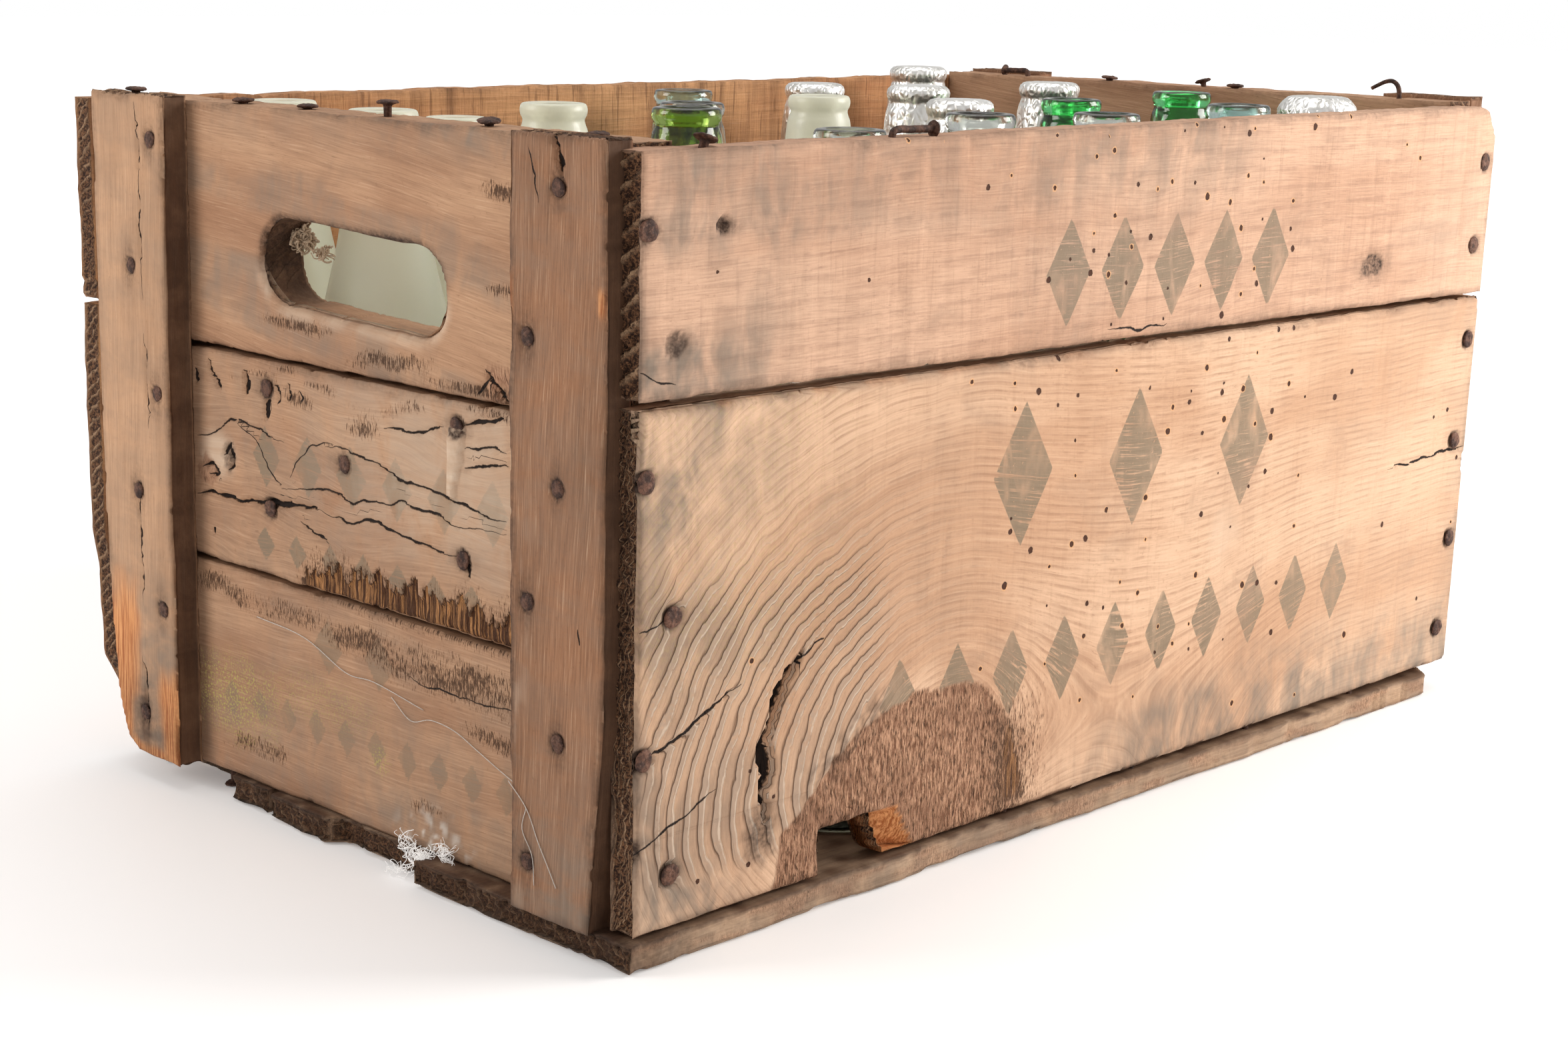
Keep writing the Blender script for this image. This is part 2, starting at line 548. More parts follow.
def bowed(points):
    """The back boards have sprung outwards at the near end."""
    points = np.array(points, float)
    points[:, 1] += 3.2 * ease(-205, -256, points[:, 0])
    return points


MASKS = ["dirt", "fresh", "patch", "grey", "worm", "lichen", "end", "pale", "ridge", "stain", "fleck",
         "web"]


def board(name, side, outline, thick, step, material, slot, relief=None, paint=None, holes=(), cracks=(),
          halo=0.3, stencil=None, head=3.8,
          ragged=0.35, edge=0.8, rings=None, grain=None, nails=(), end_cut=0.7, seed=0):
    """One board: a fine sheet of points clipped to its outline, with worn edges, relief and damage.
    relief(u, v) is how far the face stands out; paint(u, v, w, on) adds to the masks in on."""
    us, vs = [p[0] for p in outline], [p[1] for p in outline]
    nu, nv = round((max(us) - min(us)) / step), round((max(vs) - min(vs)) / step)
    u, v = np.meshgrid(np.linspace(min(us), max(us), nu + 1), np.linspace(min(vs), max(vs), nv + 1),
                       indexing="ij")

    def border(u, v):
        d = inside_polygon(u, v, outline)
        for hole in holes:
            d = np.minimum(d, hole(u, v))
        along = noise(u / 9, v / 9, seed + 1) + 0.5 * noise(u / 3, v / 3, seed + 2)
        return d - ragged * (0.75 + 0.6 * along + 0.9 * np.maximum(0, noise(u / 26, v / 26, seed + 3)) ** 2)

    def slope(u, v):
        h = 0.3
        gu, gv = border(u + h, v) - border(u - h, v), border(u, v + h) - border(u, v - h)
        size = np.hypot(gu, gv) + 1e-9
        return gu / size, gv / size

    d = border(u, v)
    cell = min((max(us) - min(us)) / nu, (max(vs) - min(vs)) / nv)
    onto = np.abs(d) < 0.5 * cell
    for _ in range(2):
        gu, gv = slope(u, v)
        u, v = np.where(onto, u - gu * d, u), np.where(onto, v - gv * d, v)
        d = border(u, v)
    keep = (d > 0) | onto
    ids = np.arange(u.size).reshape(u.shape)
    corners = np.stack([ids[:-1, :-1], ids[1:, :-1], ids[1:, 1:], ids[:-1, 1:]], -1).reshape(-1, 4)
    kept = keep.ravel()[corners]
    quads = corners[kept.all(1)]
    three = corners[kept.sum(1) == 3]
    tris = three[kept[kept.sum(1) == 3]].reshape(-1, 3)
    used = np.zeros(u.size, bool)
    used[quads], used[tris] = True, True
    index = np.cumsum(used) - 1
    u, v, d = u.ravel()[used], v.ravel()[used], np.maximum(d.ravel()[used], 0)
    quads, tris = index[quads], index[tris]
    count = len(u)

    # The open border of the sheet, for the walls
    pairs = np.concatenate([np.stack([f[:, k], f[:, (k + 1) % f.shape[1]]], 1) for f in (quads, tris)
                            for k in range(f.shape[1])])
    code = pairs[:, 0] * count + pairs[:, 1]
    rim = pairs[~np.isin(code, pairs[:, 1] * count + pairs[:, 0])]
    rim_verts = np.unique(rim)
    rim_index = np.full(count, -1)
    rim_index[rim_verts] = np.arange(len(rim_verts))

    radius = edge(u, v) if callable(edge) else edge * (0.7 + 0.5 * noise(u / 14, v / 14, seed + 4))
    radius = np.maximum(radius, 0.15)
    short = np.clip(radius - d, 0, None)
    drop = radius - np.sqrt(np.maximum(radius**2 - np.minimum(short, radius) ** 2, 0))
    front = -drop + (relief(u, v) if relief is not None else 0.0)
    front = front + 0.12 * fbm(u / 40, v / 12, seed + 5)

    # Cracks: a line, its half width and its depth
    off, half, deep = np.full(count, 9.0), np.full(count, -1.0), np.zeros(count)
    nearest = np.full(count, 1e9)
    for k, (points, width, depth) in enumerate(cracks):
        wu = u + 1.1 * noise(u / 7, v / 7, 70 + k) + 0.4 * noise(u / 2.2, v / 2.2, 90 + k)
        wv = v + 1.1 * noise(u / 7, v / 7, 80 + k) + 0.4 * noise(u / 2.2, v / 2.2, 95 + k)
        s, t = line_distance(wu, wv, points)
        size = 1.3 * width * np.minimum(1, 4 * np.minimum(t + 0.02, 1.0 - t + 0.02)) * (0.85
            + 0.35 * noise(t * 17, 0 * t, 60 + k))
        close = np.abs(s) < nearest
        nearest = np.where(close, np.abs(s), nearest)
        size = np.where((t <= 0) | (t >= 1), -0.6, size)
        fade = ease(4.5 * cell, 2.5 * cell, np.abs(s))
        off, half = np.where(close, s, off), np.where(close, size * fade - (1 - fade), half)
        deep = np.where(close, 1.0, deep)
        if depth > 0.8:
            front = front - depth * ease(size + 0.7, np.maximum(size - 0.35, 0.05),
                                         np.abs(s)) * (size > 0.2)
    off = np.clip(off, -6, 6)

    dents = 0
    for (nu_, nv_) in nails:
        reach = np.hypot(u - nu_, v - nv_)
        dents = np.maximum(dents, ease(head + 1.8, head, reach + 0.6 * noise(u / 3, v / 3, seed + 6)))
    front = front - 0.7 * dents

    # Walls through the thickness
    rows = max(3, round(thick / max(step, 1.1)))
    ru, rv = u[rim_verts], v[rim_verts]
    gu, gv = slope(ru, rv)
    ring_at = rings if rings is not None else (lambda u, v,
        w: (v + 0.8 * w + 2.0 * fbm(u / 70, v / 30, seed + 7) + 1.5 * noise(v / 7, w / 4, seed + 13)) / 4.8)
    wall_u, wall_v, wall_w = [], [], []
    for k in range(1, rows):
        w = -thick * k / rows + 0 * ru
        across_grain = np.abs(gu) > 0.6
        turn = ring_at(ru, rv, w) % 1.0
        cut = np.where(across_grain, end_cut * (1.1 - ease(0.4, 0.85, turn) * ease(1.0, 0.9, turn)
            + 0.6 * noise(rv / 2, w / 2, seed + 8)),
                       0.22 * (1 + noise((ru + rv) / 5, w / 3, seed + 9)))
        cut = np.maximum(cut, 0) * np.minimum(1, 4 * min(k / rows, 1 - k / rows) + 0.3)
        wall_u.append(ru + gu * cut)
        wall_v.append(rv + gv * cut)
        wall_w.append(w)
    back = -thick + np.where(d < 1e-6, 0.35, 0) + 0.1 * fbm(u / 30, v / 14, seed + 10)
    all_u = np.concatenate([u, *wall_u, u])
    all_v = np.concatenate([v, *wall_v, v])
    all_w = np.concatenate([front, *wall_w, back])
    part = np.concatenate([np.zeros(count), np.ones(len(rim_verts) * (rows - 1)), np.full(count, 2)])

    n_rim, base_back = len(rim_verts), count + len(rim_verts) * (rows - 1)

    def wall_index(row, verts):
        if row == 0:
            return verts
        if row == rows:
            return base_back + verts
        return count + (row - 1) * n_rim + rim_index[verts]

    walls = [np.stack([wall_index(k, rim[:, 1]), wall_index(k, rim[:, 0]),
                       wall_index(k + 1, rim[:, 0]), wall_index(k + 1, rim[:, 1])], 1) for k in range(rows)]
    quads_all = np.concatenate([quads, *walls, base_back + quads[:, ::-1]])
    tris_all = np.concatenate([tris, base_back + tris[:, ::-1]]) if len(tris) else np.zeros((0, 3), int)
    place = SIDES[side]
    points = np.stack(np.broadcast_arrays(*place(all_u, all_v, all_w)), 1)
    axes = [np.array(place(*e), float) - np.array(place(0, 0, 0), float)
            for e in ((1, 0, 0), (0, 1, 0), (0, 0, 1))]
    if np.linalg.det(np.array(axes)) < 0:
        quads_all, tris_all = quads_all[:, ::-1], tris_all[:, ::-1]

    # Masks for the material
    on = {m: np.zeros(len(all_u)) for m in MASKS}
    long_d = np.concatenate([d, *([np.zeros(n_rim)] * (rows - 1)), d])
    grow = fbm(all_u / 22, all_v / 9, seed + 11)
    on["dirt"] += 0.34 * ease(4, 0, long_d + 2.5 * grow) * (part != 1)
    on["dirt"] += (part == 1) * 0.25
    for (nu_, nv_) in nails:
        reach = np.hypot(all_u - nu_, all_v - nv_)
        drawn = np.hypot((all_u - nu_) / 2.1, all_v - nv_)
        on["dirt"] += (part == 0) * (0.65 * ease(head + 0.8, head + 0.2, reach)
                                     + halo * ease(6, 2.5, drawn + 1.2 * grow)
                                     + 0.25 * halo * ease(13, 4, drawn + 3 * grow))
    wall_end = np.concatenate([np.zeros(count), *([ease(0.5, 0.8, np.abs(gu))] * (rows - 1)),
                               np.zeros(count)])
    on["end"] += wall_end
    if paint is not None:
        paint(all_u, all_v, all_w, part, on)
    along = grain(all_u, all_v, all_w) if grain is not None else (all_u,
        all_v + 3.5 * fbm(all_u / 90, all_v / 45, seed + 12), all_w)
    marks = stencil(all_u, all_v) * (part == 0) - 9 * (part != 0) if stencil is not None else np.full(len(all_u), -9.0)
    shift = 137.0 * seed
    pad = np.zeros(len(all_u) - count)
    attributes = {
        "grain": np.stack([along[0] + shift, along[1] + shift, along[2]], 1),
        "flat": np.stack([all_u + shift, all_v + shift, all_w], 1),
        "ring": ring_at(all_u, all_v, all_w),
        "paint": np.clip(marks, -9, 9),
        "crack": np.stack([np.concatenate([off, pad + 9]), np.concatenate([half, pad - 1]),
                           np.concatenate([deep, pad])], 1),
        "worn_a": np.clip(np.stack([on["dirt"], on["fresh"], on["patch"]], 1), 0, 1),
        "worn_b": np.clip(np.stack([on["grey"], on["worm"], on["lichen"]], 1), 0, 1),
        "worn_c": np.clip(np.stack([on["end"], on["pale"], on["ridge"]], 1), 0, 1),
        "worn_d": np.clip(np.stack([on["stain"], on["fleck"], on["web"]], 1), 0, 1),
    }
    points = racked(bowed(points) if side == "back" else points)
    obj = mesh_object(name, points, [quads_all, tris_all], attributes)
    return finish_piece(obj, material, "crate", slot, name.replace("_worn", ""))


def joint_z(x):
    return 183.25 - 4.5 * x / 506


# ---- The long sides ----
# Side nails above this height are in the top boards
TOP_NAILS_FROM = 178
FINE = 1.5
COARSE = 2.2


def side_nails_at():
    """Where the side nails stand: (x, z) of each."""
    out = []
    for x in (-249.5, -237.5, 242, 245.5):
        for z in ((239, 161, 71) if abs(x) > 243 else (203, 116, 30)):
            out.append((x, z))
    return out


def rect(u0, u1, v0, v1):
    return [(u0, v0), (u1, v0), (u1, v1), (u0, v1)]


def diamond(u, v, at_u, at_v, half_u, half_v):
    """Signed distance inside an upright diamond."""
    return (1 - np.abs(u - at_u) / half_u - np.abs(v - at_v)
            / half_v) * half_u * half_v / math.hypot(half_u, half_v)


def top_stencil(u, v):
    """A row of five diamonds."""
    return np.maximum.reduce([diamond(u, v, at, 210.5 - 0.02 * at, 13, 20)
                              for at in (-44, -12, 20, 52, 84)])


def lower_stencil(u, v):
    """Three tall diamonds above a row of small ones."""
    tall = [diamond(u, v, at, 138 - 0.03 * at, 17, 27) for at in (-64, 4, 76)]
    small = [diamond(u, v, at, 66, 10.5, 17) for at in range(-128, 160, 31)]
    return np.maximum.reduce(tall + small)


def end_stencil(u, v):
    """Two faint rows of small diamonds across the near end."""
    upper = [diamond(u, v, at, 138, 9, 12) for at in (-78, -52, -26, 0, 26, 52)]
    lower = [diamond(u, v, at, 105, 6, 7) for at in range(-66, 66, 20)]
    return np.minimum(np.maximum.reduce(upper + lower), 0.26)


def low_stencil(u, v):
    return np.minimum(np.maximum.reduce([diamond(u, v, at, 73, 9, 11) for at in (-14, 16)]
                                        + [diamond(u, v, at, 41, 6, 8) for at in range(-84, 84, 18)]), 0.14)


def front_top_paint(u, v, w, part, on):
    face = part == 0
    on["worm"] += face * (0.06 + 0.3 * ease(-110, -20, u) * ease(150, 100, u))
    on["grey"] += face * (0.75 * ease(-150, -235, u) * ease(-0.4, 0.5, fbm(u / 24, v / 30, 5))
                          + 0.6 * ease(-90, -40, u) * ease(90, 40, u) * ease(215, 255, v))
    on["grey"] += face * 0.9 * ease(20, 8, np.hypot((u + 232) / 1.6, v - 192))
    knot = np.hypot((u - 160) / 1.8, v - 199.5)
    on["dirt"] += face * (0.8 * ease(5.2, 3.6, knot + noise(u / 2, v / 2, 6)) + 0.35 * ease(11, 4, knot))
    on["dirt"] += face * (1.0 * ease(3.4, 2.0, np.hypot(u + 218, v - 239))
                          + 0.5 * ease(3, 1.2, np.abs(v - 238.5 + 0.12 * (u + 218)))
                          * ease(8, 3, np.abs(u + 215)))
    on["grey"] += face * 0.5 * ease(9, 3, np.hypot((u + 241) / 1.6, v - 196))
    on["pale"] += face * 0.25 * ease(150, 250, u)
    on["grey"] += face * 0.55 * ease(120, -253, u) * ease(-0.3, 0.5, noise(u / 30, v / 22, 9))
    on["worm"] += face * 0.5 * ease(255, 262, v) * ease(-230, -200, u) * (noise(u / 8, 0 * u, 7) > 0)


board("front_top_board_worn", "front",
      [(-253, joint_z(-253) + 0.4), (253, joint_z(253) + 0.4), (253, 250), (247, 261), (238, 263.5),
       (-253, 263.5)],
      12.6, FINE, wood_front_top, "side_wood",
      relief=lambda u, v: 0.22 * noise(u / 9, v / 160, 41) + 0.16 * noise(u / 3.4, v / 90, 42)
      - 2.2 * ease(3.2, 1.4, np.hypot(u + 218, v - 239))
      - 0.5 * ease(6, 3.5, np.hypot((u - 160) / 1.7, v - 199.5)),
      paint=front_top_paint, nails=[p for p in side_nails_at() if p[1] > TOP_NAILS_FROM], seed=11,
      ragged=0.45, edge=1.1,
      cracks=[([(-253, 196), (-246, 192), (-238, 190)], 0.3, 0),
              ([(-19, 188.8), (0, 187.4), (18, 186.6)], 0.35, 0)],
      rings=lambda u, v, w: (v - 0.62 * w + 4 * fbm(u / 200, v / 60, 43) + 0.6 * noise(v / 5, w / 4, 47))
      / 7.4, end_cut=1.7, halo=0.12,
      stencil=top_stencil)

KNOT = (-100, 44)


def knot_field(u, v, w):
    """The growth rings sweep round the knot as ovals and run out level towards the far end."""
    du, dv = u - KNOT[0], v - KNOT[1]
    stretch = np.where(du < 0, 1.28, 1 + np.maximum(0, du - 25) / 95 + 0.15 * ease(0, 25, du))
    dv = np.where(dv < 0, dv * 1.35, dv)
    field = np.sqrt((du / stretch) ** 2 + dv**2)
    near = ease(-60, -190, u)
    level = ease(-50, 170, u)
    field = field * (1 - level) + (v - 34) * level
    field = field + 1.5 * fbm(u / 58, v / 46, 51) + (0.2 + 0.5 * near) * noise(u / 9, v / 9,
        52) + 1.6 * near * noise(u / 26, v / 40, 50)
    return field + 2.3 * w


PATCH = [(-189, 9), (-187, 31), (-172, 42), (-160, 53), (-145, 61), (-128, 67), (-110, 69), (-92, 67.5),
         (-76, 61),
         (-66, 48), (-60, 33), (-55, 18), (-60, 9)]
NOTCH_A, NOTCH_B = (-143, 28, -134, 10), (-127, 27, -116.5, 12)


def ridge_zone(u, v):
    return (ease(-128, -152, u) * ease(20, 34, v) * ease(136, 104, v)
            + 0.25 * ease(-60, -150, u) * ease(175, 120, v) * ease(60, 90, v)) * ease(-253, -243, u)


def slit(u, v):
    """How far a point lies from the notch's slanting left edge to its right one, 0 to 1."""
    t = np.clip((27.5 - v) / 16, -0.2, 1.2)
    left = NOTCH_A[0] + (NOTCH_A[2] - NOTCH_A[0]) * t
    right = NOTCH_B[0] + (NOTCH_B[2] - NOTCH_B[0]) * t
    return (u - left) / (right - left)


def front_lower_relief(u, v):
    inside = inside_polygon(u + 1.5 * noise(u / 5, v / 5, 53), v + 1.5 * noise(u / 5, v / 5, 54), PATCH)
    rough = ease(0, 2.2, inside) * ease(-50, -66, u)
    out = -rough * (0.45 + 0.5 * noise(u / 1.9, v / 7, 55) + 0.35 * noise(u / 4, v / 12, 56))
    t = slit(u, v)
    facet = (t < 1) * (t > -0.3) * ease(28.5, 26.8, v)
    out = out - facet * (8.2 * (1 - np.clip(t, 0, 1)) + 0.8 * ease(1.0, 0.93, t))
    swell = 0.5 * ease(60, 0, np.hypot((u - KNOT[0]) / 1.4, v - KNOT[1]))
    return out + swell - 0.5 + 0.25 * noise(u / 60, v / 60, 57)


def front_lower_paint(u, v, w, part, on):
    face = part == 0
    inside = inside_polygon(u + 1.8 * noise(u / 4, v / 6, 58), v + 1.8 * noise(u / 5, v / 4, 59), PATCH)
    fade = ease(-52, -86, u + 9 * noise(u / 3, v / 9, 60))
    on["patch"] += face * ease(-0.6, 0.9, inside) * (0.25 + 0.75 * fade)
    on["patch"] += face * 0.5 * ease(-20, -62, u) * ease(-92, -66, u) * ease(62, 40, v) * ease(-0.1, 0.5,
        noise(u / 2.5, v / 6, 61))
    on["patch"] += (part == 1) * (inside > -3) * (u > -195) * (u < -110) * 0.8
    on["ridge"] += face * ridge_zone(u, v)
    on["fleck"] += face * 0.35 * ease(-0.6, 0.9, inside)
    on["fleck"] += face * 0.5 * ease(-34, -62, u) * ease(-84, -62, u) * ease(70, 40, v) * ease(8, 20, v)
    t = slit(u, v)
    facet = (t < 1.02) * (t > -0.3) * (v < 28)
    on["fresh"] += facet * (part < 2) * 1.0
    on["patch"] *= 1 - facet
    on["fleck"] *= 1 - facet
    on["dirt"] *= 1 - facet
    on["worm"] += face * (0.05 + 0.3 * ease(-110, -30, u) * ease(150, 90, u) * ease(20, 60, v)) * (inside
        < -2)
    on["grey"] += face * 0.55 * ease(-20, -253, u) * ease(-0.5, 0.5, noise(u / 34, v / 26, 68))
    on["grey"] += face * (0.5 * ease(-190, -250, u) + 1.3 * ease(-190, -236, u) * ease(60, 16, v)
                          + 1.6 * ease(56, 12, v + 6 * noise(u / 20, v / 8, 47)) * ease(-60, 60, u)
                          + 0.28 * ease(176, 184, v) * ease(100, 0, u))
    on["grey"] += face * 0.35 * ease(236, 253, u)
    on["pale"] += face * 0.5 * ease(14, 3, np.hypot((u - 66) / 1.0,
        (v - 97) / 1.3)) + face * 0.15 * ease(60, 200, u)
    on["fresh"] += face * 0.45 * ease(179.5, 183, v) * ease(0.1, 0.5, noise(u / 12, 0 * u, 49)) * ease(120,
        -60, u)
    on["lichen"] += face * 0.16 * ease(-120, -200, u) * ease(70, 120, v)
    on["dirt"] += face * 0.75 * ease(9, 2, np.hypot((u + 196) / 1.2, (v - 34) / 1.6)
                                     + 2 * noise(u / 2, v / 2, 63))
    on["dirt"] += face * 0.45 * ease(10, 3, np.abs((u + 160) * 0.62 - (v - 52)) * 0.85) * ease(-186, -166,
        u) * ease(-130, -142, u) * (noise(u / 1.5, v / 2.5, 64) > 0.1)
    on["dirt"] += face * 0.8 * ease(4, 1, np.hypot((u + 252) / 0.8, (v - 41) / 1.2))


def knot_grain(u, v, w):
    field = knot_field(u, v, w)
    turn = np.arctan2(v - KNOT[1], (u - KNOT[0]) / 1.6)
    far = ease(-80, 120, u)
    return (-90 * turn * (1 - far) + u * far, field, w)


board("front_lower_board_worn", "front",
      [(-253, 11.2), (-166, 11.5), (-165, 28.3), (-143, 27.6), (-136, 14), (-133, 11.5), (-60, 11.8),
       (120, 12.6), (253, 13.2),
       (253, joint_z(253) - 0.9), (-253, joint_z(-253) - 1.7)],
      12.6, FINE, wood_front, "side_wood", relief=front_lower_relief, end_cut=1.5, halo=0.1,
      stencil=lower_stencil, paint=front_lower_paint,
      nails=[p for p in side_nails_at() if p[1] < TOP_NAILS_FROM], seed=12, ragged=0.45,
      edge=lambda u, v: np.where(v > 174, 2.6 + 1.2 * ease(-120, -253, u), 1.1)
      + 0.3 * noise(u / 14, v / 14, 69),
      rings=lambda u, v, w: knot_field(u, v, w) / 3.0, grain=knot_grain,
      cracks=[([(-178, 94), (-182, 90), (-188, 82), (-191, 73), (-195, 66), (-192, 55), (-195, 48),
                (-193, 37)], 2.0, 5),
              ([(-252, 70), (-240, 73), (-225, 80), (-205, 89)], 0.42, 1.0),
              ([(-256, 38), (-238, 46), (-216, 55)], 0.32, 0),
              ([(187, 110.0), (215, 110.6), (236, 111.8), (252, 113)], 0.5, 1.2),
              ([(-252, 112), (-238, 116)], 0.25, 0),
              ([(-180, 91), (-172, 96), (-166, 97)], 0.3, 0)])

for piece, low in (("back_top_board", False), ("back_lower_board", True)):
    outline = [(-258.6, joint_z(-253) + 0.4), (253, joint_z(253) + 0.4), (253, 263.5), (-259.2, 263.5)]
    if low:
        outline = [(-253.5, 39), (-244, 22), (-231, 10), (253, 10), (253, joint_z(253) - 0.4),
                   (-258.8, joint_z(-253) - 0.4),
                   (-258.6, 95), (-256, 80), (-255.6, 44)]
    board(piece + "_worn", "back", outline, 11, COARSE, wood_back, "side_wood", seed=13 + low, ragged=0.6,
          edge=1.2,
          relief=lambda u, v: 0.2 * noise(u / 10, v / 120, 44) + 0.15 * noise(u / 4, v / 90, 45),
          nails=[p for p in side_nails_at() if (p[1] < TOP_NAILS_FROM) == low],
          paint=lambda u, v, w, part, on: on["grey"].__iadd__((part < 1) * 0.5
              * ease(-0.3, 0.6, fbm(u / 60, v / 30, 46))),
          cracks=[([(-253, 150), (-200, 146), (-150, 147), (-90, 143)], 0.4, 1.0),
                  ([(120, 60), (180, 63), (250, 58)], 0.35, 1.0)]
          if low else [([(60, 225), (140, 222), (250, 226)], 0.4, 1.0)])


# ---- The ends ----
HOLE_Z, HOLE_STRAIGHT, HOLE_RADIUS = 209.5, 37, 15
HOLE_TILT = math.radians(2)


def hand_hole(u, v):
    """Signed distance from the edge of the hand hole, negative inside it."""
    rise = v - HOLE_Z
    along = u * math.cos(HOLE_TILT) + rise * math.sin(HOLE_TILT)
    across = rise * math.cos(HOLE_TILT) - u * math.sin(HOLE_TILT)
    return np.hypot(np.maximum(np.abs(along) - HOLE_STRAIGHT, 0), across) - HOLE_RADIUS


def end_top_edge(u, v):
    """Worn round the hole, most of all along its lower lip."""
    near = hand_hole(u, v)
    lip = 1.6 + 3.2 * ease(212, 197, v)
    return np.where(near < 12, lip, 1.1 + 0.4 * noise(u / 14, v / 14, 72))


def end_top_paint(u, v, w, part, on):
    face = part == 0
    near = hand_hole(u, v)
    on["dirt"] += face * 0.7 * ease(4, 0, near) * ease(206, 222, v)
    on["pale"] += face * 0.9 * ease(7, 1, near) * ease(212, 198, v)
    on["dirt"] *= np.where((near < 6) & (v < 206), 0.25, 1)
    on["dirt"] += (part == 1) * (near < 3) * 0.5 * ease(20, 50, u)
    on["fleck"] += face * 0.62 * ease(4.5, 1, np.abs(v - 182 + 0.09 * (u + 18)
        + 1.5 * noise(u / 6, 0 * u, 73))) * ease(34, 6, np.abs(u + 22))
    on["fleck"] += face * 0.6 * ease(3.4, 1, np.abs(v - 188 - 0.02 * u)) * ease(28, 8, np.abs(u - 32))
    on["fleck"] += face * 0.62 * ease(3, 1, np.abs(v - 178.5)) * ease(-30, -66, u)
    on["fleck"] += face * 0.66 * ease(4, 1.5, np.abs(v - 245 - 0.12 * (u + 80))) * ease(16, 4,
        np.abs(u + 84))
    on["fleck"] += face * 0.6 * ease(2.5, 1, np.abs(v - 213)) * ease(13, 4, np.abs(u + 84))
    on["patch"] += face * 0.9 * ease(-72, -76, u) * ease(190, 184, v) * ease(0, 0.4,
        noise(u / 3, v / 5, 78) + 0.5)
    on["grey"] += face * 0.6 * ease(0.1, 0.8, np.sin((v - 0.16 * u) / 7 + 2.2 * fbm(u / 70, v / 30, 79)))
    on["grey"] += face * 0.3 * ease(245, 262, v)
    on["end"] *= np.where((near < 3) & (part == 1), 0.35, 1)
    on["stain"] += (part == 1) * (near < 3) * 0.5 * ease(20, 50, u)
    on["stain"] += face * 0.5 * ease(87, 98, u)
    on["grey"] += (part == 2) * 0.3


for end in ("near", "far"):
    is_near = end == "near"
    fine = 1.25 if is_near else COARSE
    board(f"{end}_end_top_board_worn", end, rect(-143.75, 143.75, 174.9, 265.2), 18, fine, wood_end,
          "end_wood",
          holes=[hand_hole], edge=end_top_edge, seed=21 if is_near else 31,
          relief=(lambda u, v: -1.6 * ease(-70, -82, u) * ease(190, 182, v)
                  + 0.9 * noise(u / 3, v / 5, 78) * ease(-70, -80, u) * ease(192, 182, v)) if is_near
                  else None,
          paint=end_top_paint if is_near else None, ragged=0.5,
          rings=lambda u, v, w: (v - 0.16 * u + 0.8 * w + 7 * fbm(u / 150, v / 40, 81)) / 6.0,
          grain=lambda u, v, w: (u, v - 0.10 * u + 6 * fbm(u / 120, v / 50, 82), w),
          cracks=[([(-84, 176), (-78, 181), (-73, 187)], 0.5, 1.4), ([(-70, 176), (-76, 183)], 0.4, 1.0)]
          if is_near else [])

MIDDLE_CRACKS = [
    ([(98.5, 117.6), (80, 118.2), (58, 119.5), (36, 122.5), (20, 123.2)], 0.75, 2.5),
    ([(20, 123.4), (4, 121.5), (-14, 124.5), (-40, 121), (-62, 120.4)], 0.35, 1.0),
    ([(99, 139), (88, 142), (76, 148), (64, 149), (40, 145)], 0.32, 1.0),
    ([(72, 149), (60, 144), (46, 130), (40, 127)], 0.25, 0),
    ([(44, 127), (30, 129.5), (14, 131), (0, 129.5), (-30, 134), (-60, 131), (-86, 133.5)], 0.32, 1.0),
    ([(14, 146.5), (2, 148.6), (-14, 146), (-26, 142.5), (-50, 140), (-86, 136)], 0.35, 1.0),
    ([(38, 132), (30, 140), (24, 147), (10, 149)], 0.22, 0),
    ([(-18, 158.5), (-36, 160), (-52, 164)], 0.4, 1.2),
    ([(-62, 166), (-74, 169), (-86, 171)], 0.5, 1.6),
    ([(-62, 157), (-74, 160), (-86, 160.5)], 0.35, 1.0),
    ([(-62, 151), (-76, 155), (-86, 155)], 0.4, 1.2),
    ([(88, 171), (86.5, 164), (83, 160), (80, 158)], 0.9, 2.0),
    ([(66, 169), (64, 164), (65.5, 159.5)], 1.2, 2.2),
    ([(98, 166), (96, 160)], 0.8, 1.5),
    ([(50, 160), (51, 155), (50.5, 151)], 1.2, 1.6),
    ([(46, 166), (42, 163), (44, 159)], 0.5, 1.2),
    ([(38, 167), (36, 163), (38, 160)], 0.4, 1.0),
    ([(30, 166), (27, 163), (29, 160)], 0.35, 0),
    ([(82, 134), (76, 138), (74, 132), (78, 129)], 0.9, 2.0),
    ([(94, 127), (88, 130), (84, 127), (90, 125)], 0.6, 1.6),
    ([(32, 118), (24, 113), (14, 112)], 0.4, 1.0),
    ([(88, 106), (87, 103)], 0.8, 1.4),
    ([(-61, 120), (-65, 113)], 0.7, 1.2),
]


def torn_edge(u, v):
    """Splinters torn off the middle board's lower edge, their tops jagged."""
    top = 99 + 6 * ease(40, -10, u) + 4.5 * noise(u / 1.7, 0 * u, 83) + 2.5 * noise(u / 5, 0 * u, 84)
    return ease(38, 22, u) * ease(top, top - 1.2, v)


def flap(u, v):
    """The torn flap that hangs below one repair nail."""
    t = (165 - v) / 24
    mid = -59 + 2.5 * t
    return (t > 0) * (t < 1) * ease(0.6, 0, np.abs(u - mid) - (3.2 - 2.0 * t))


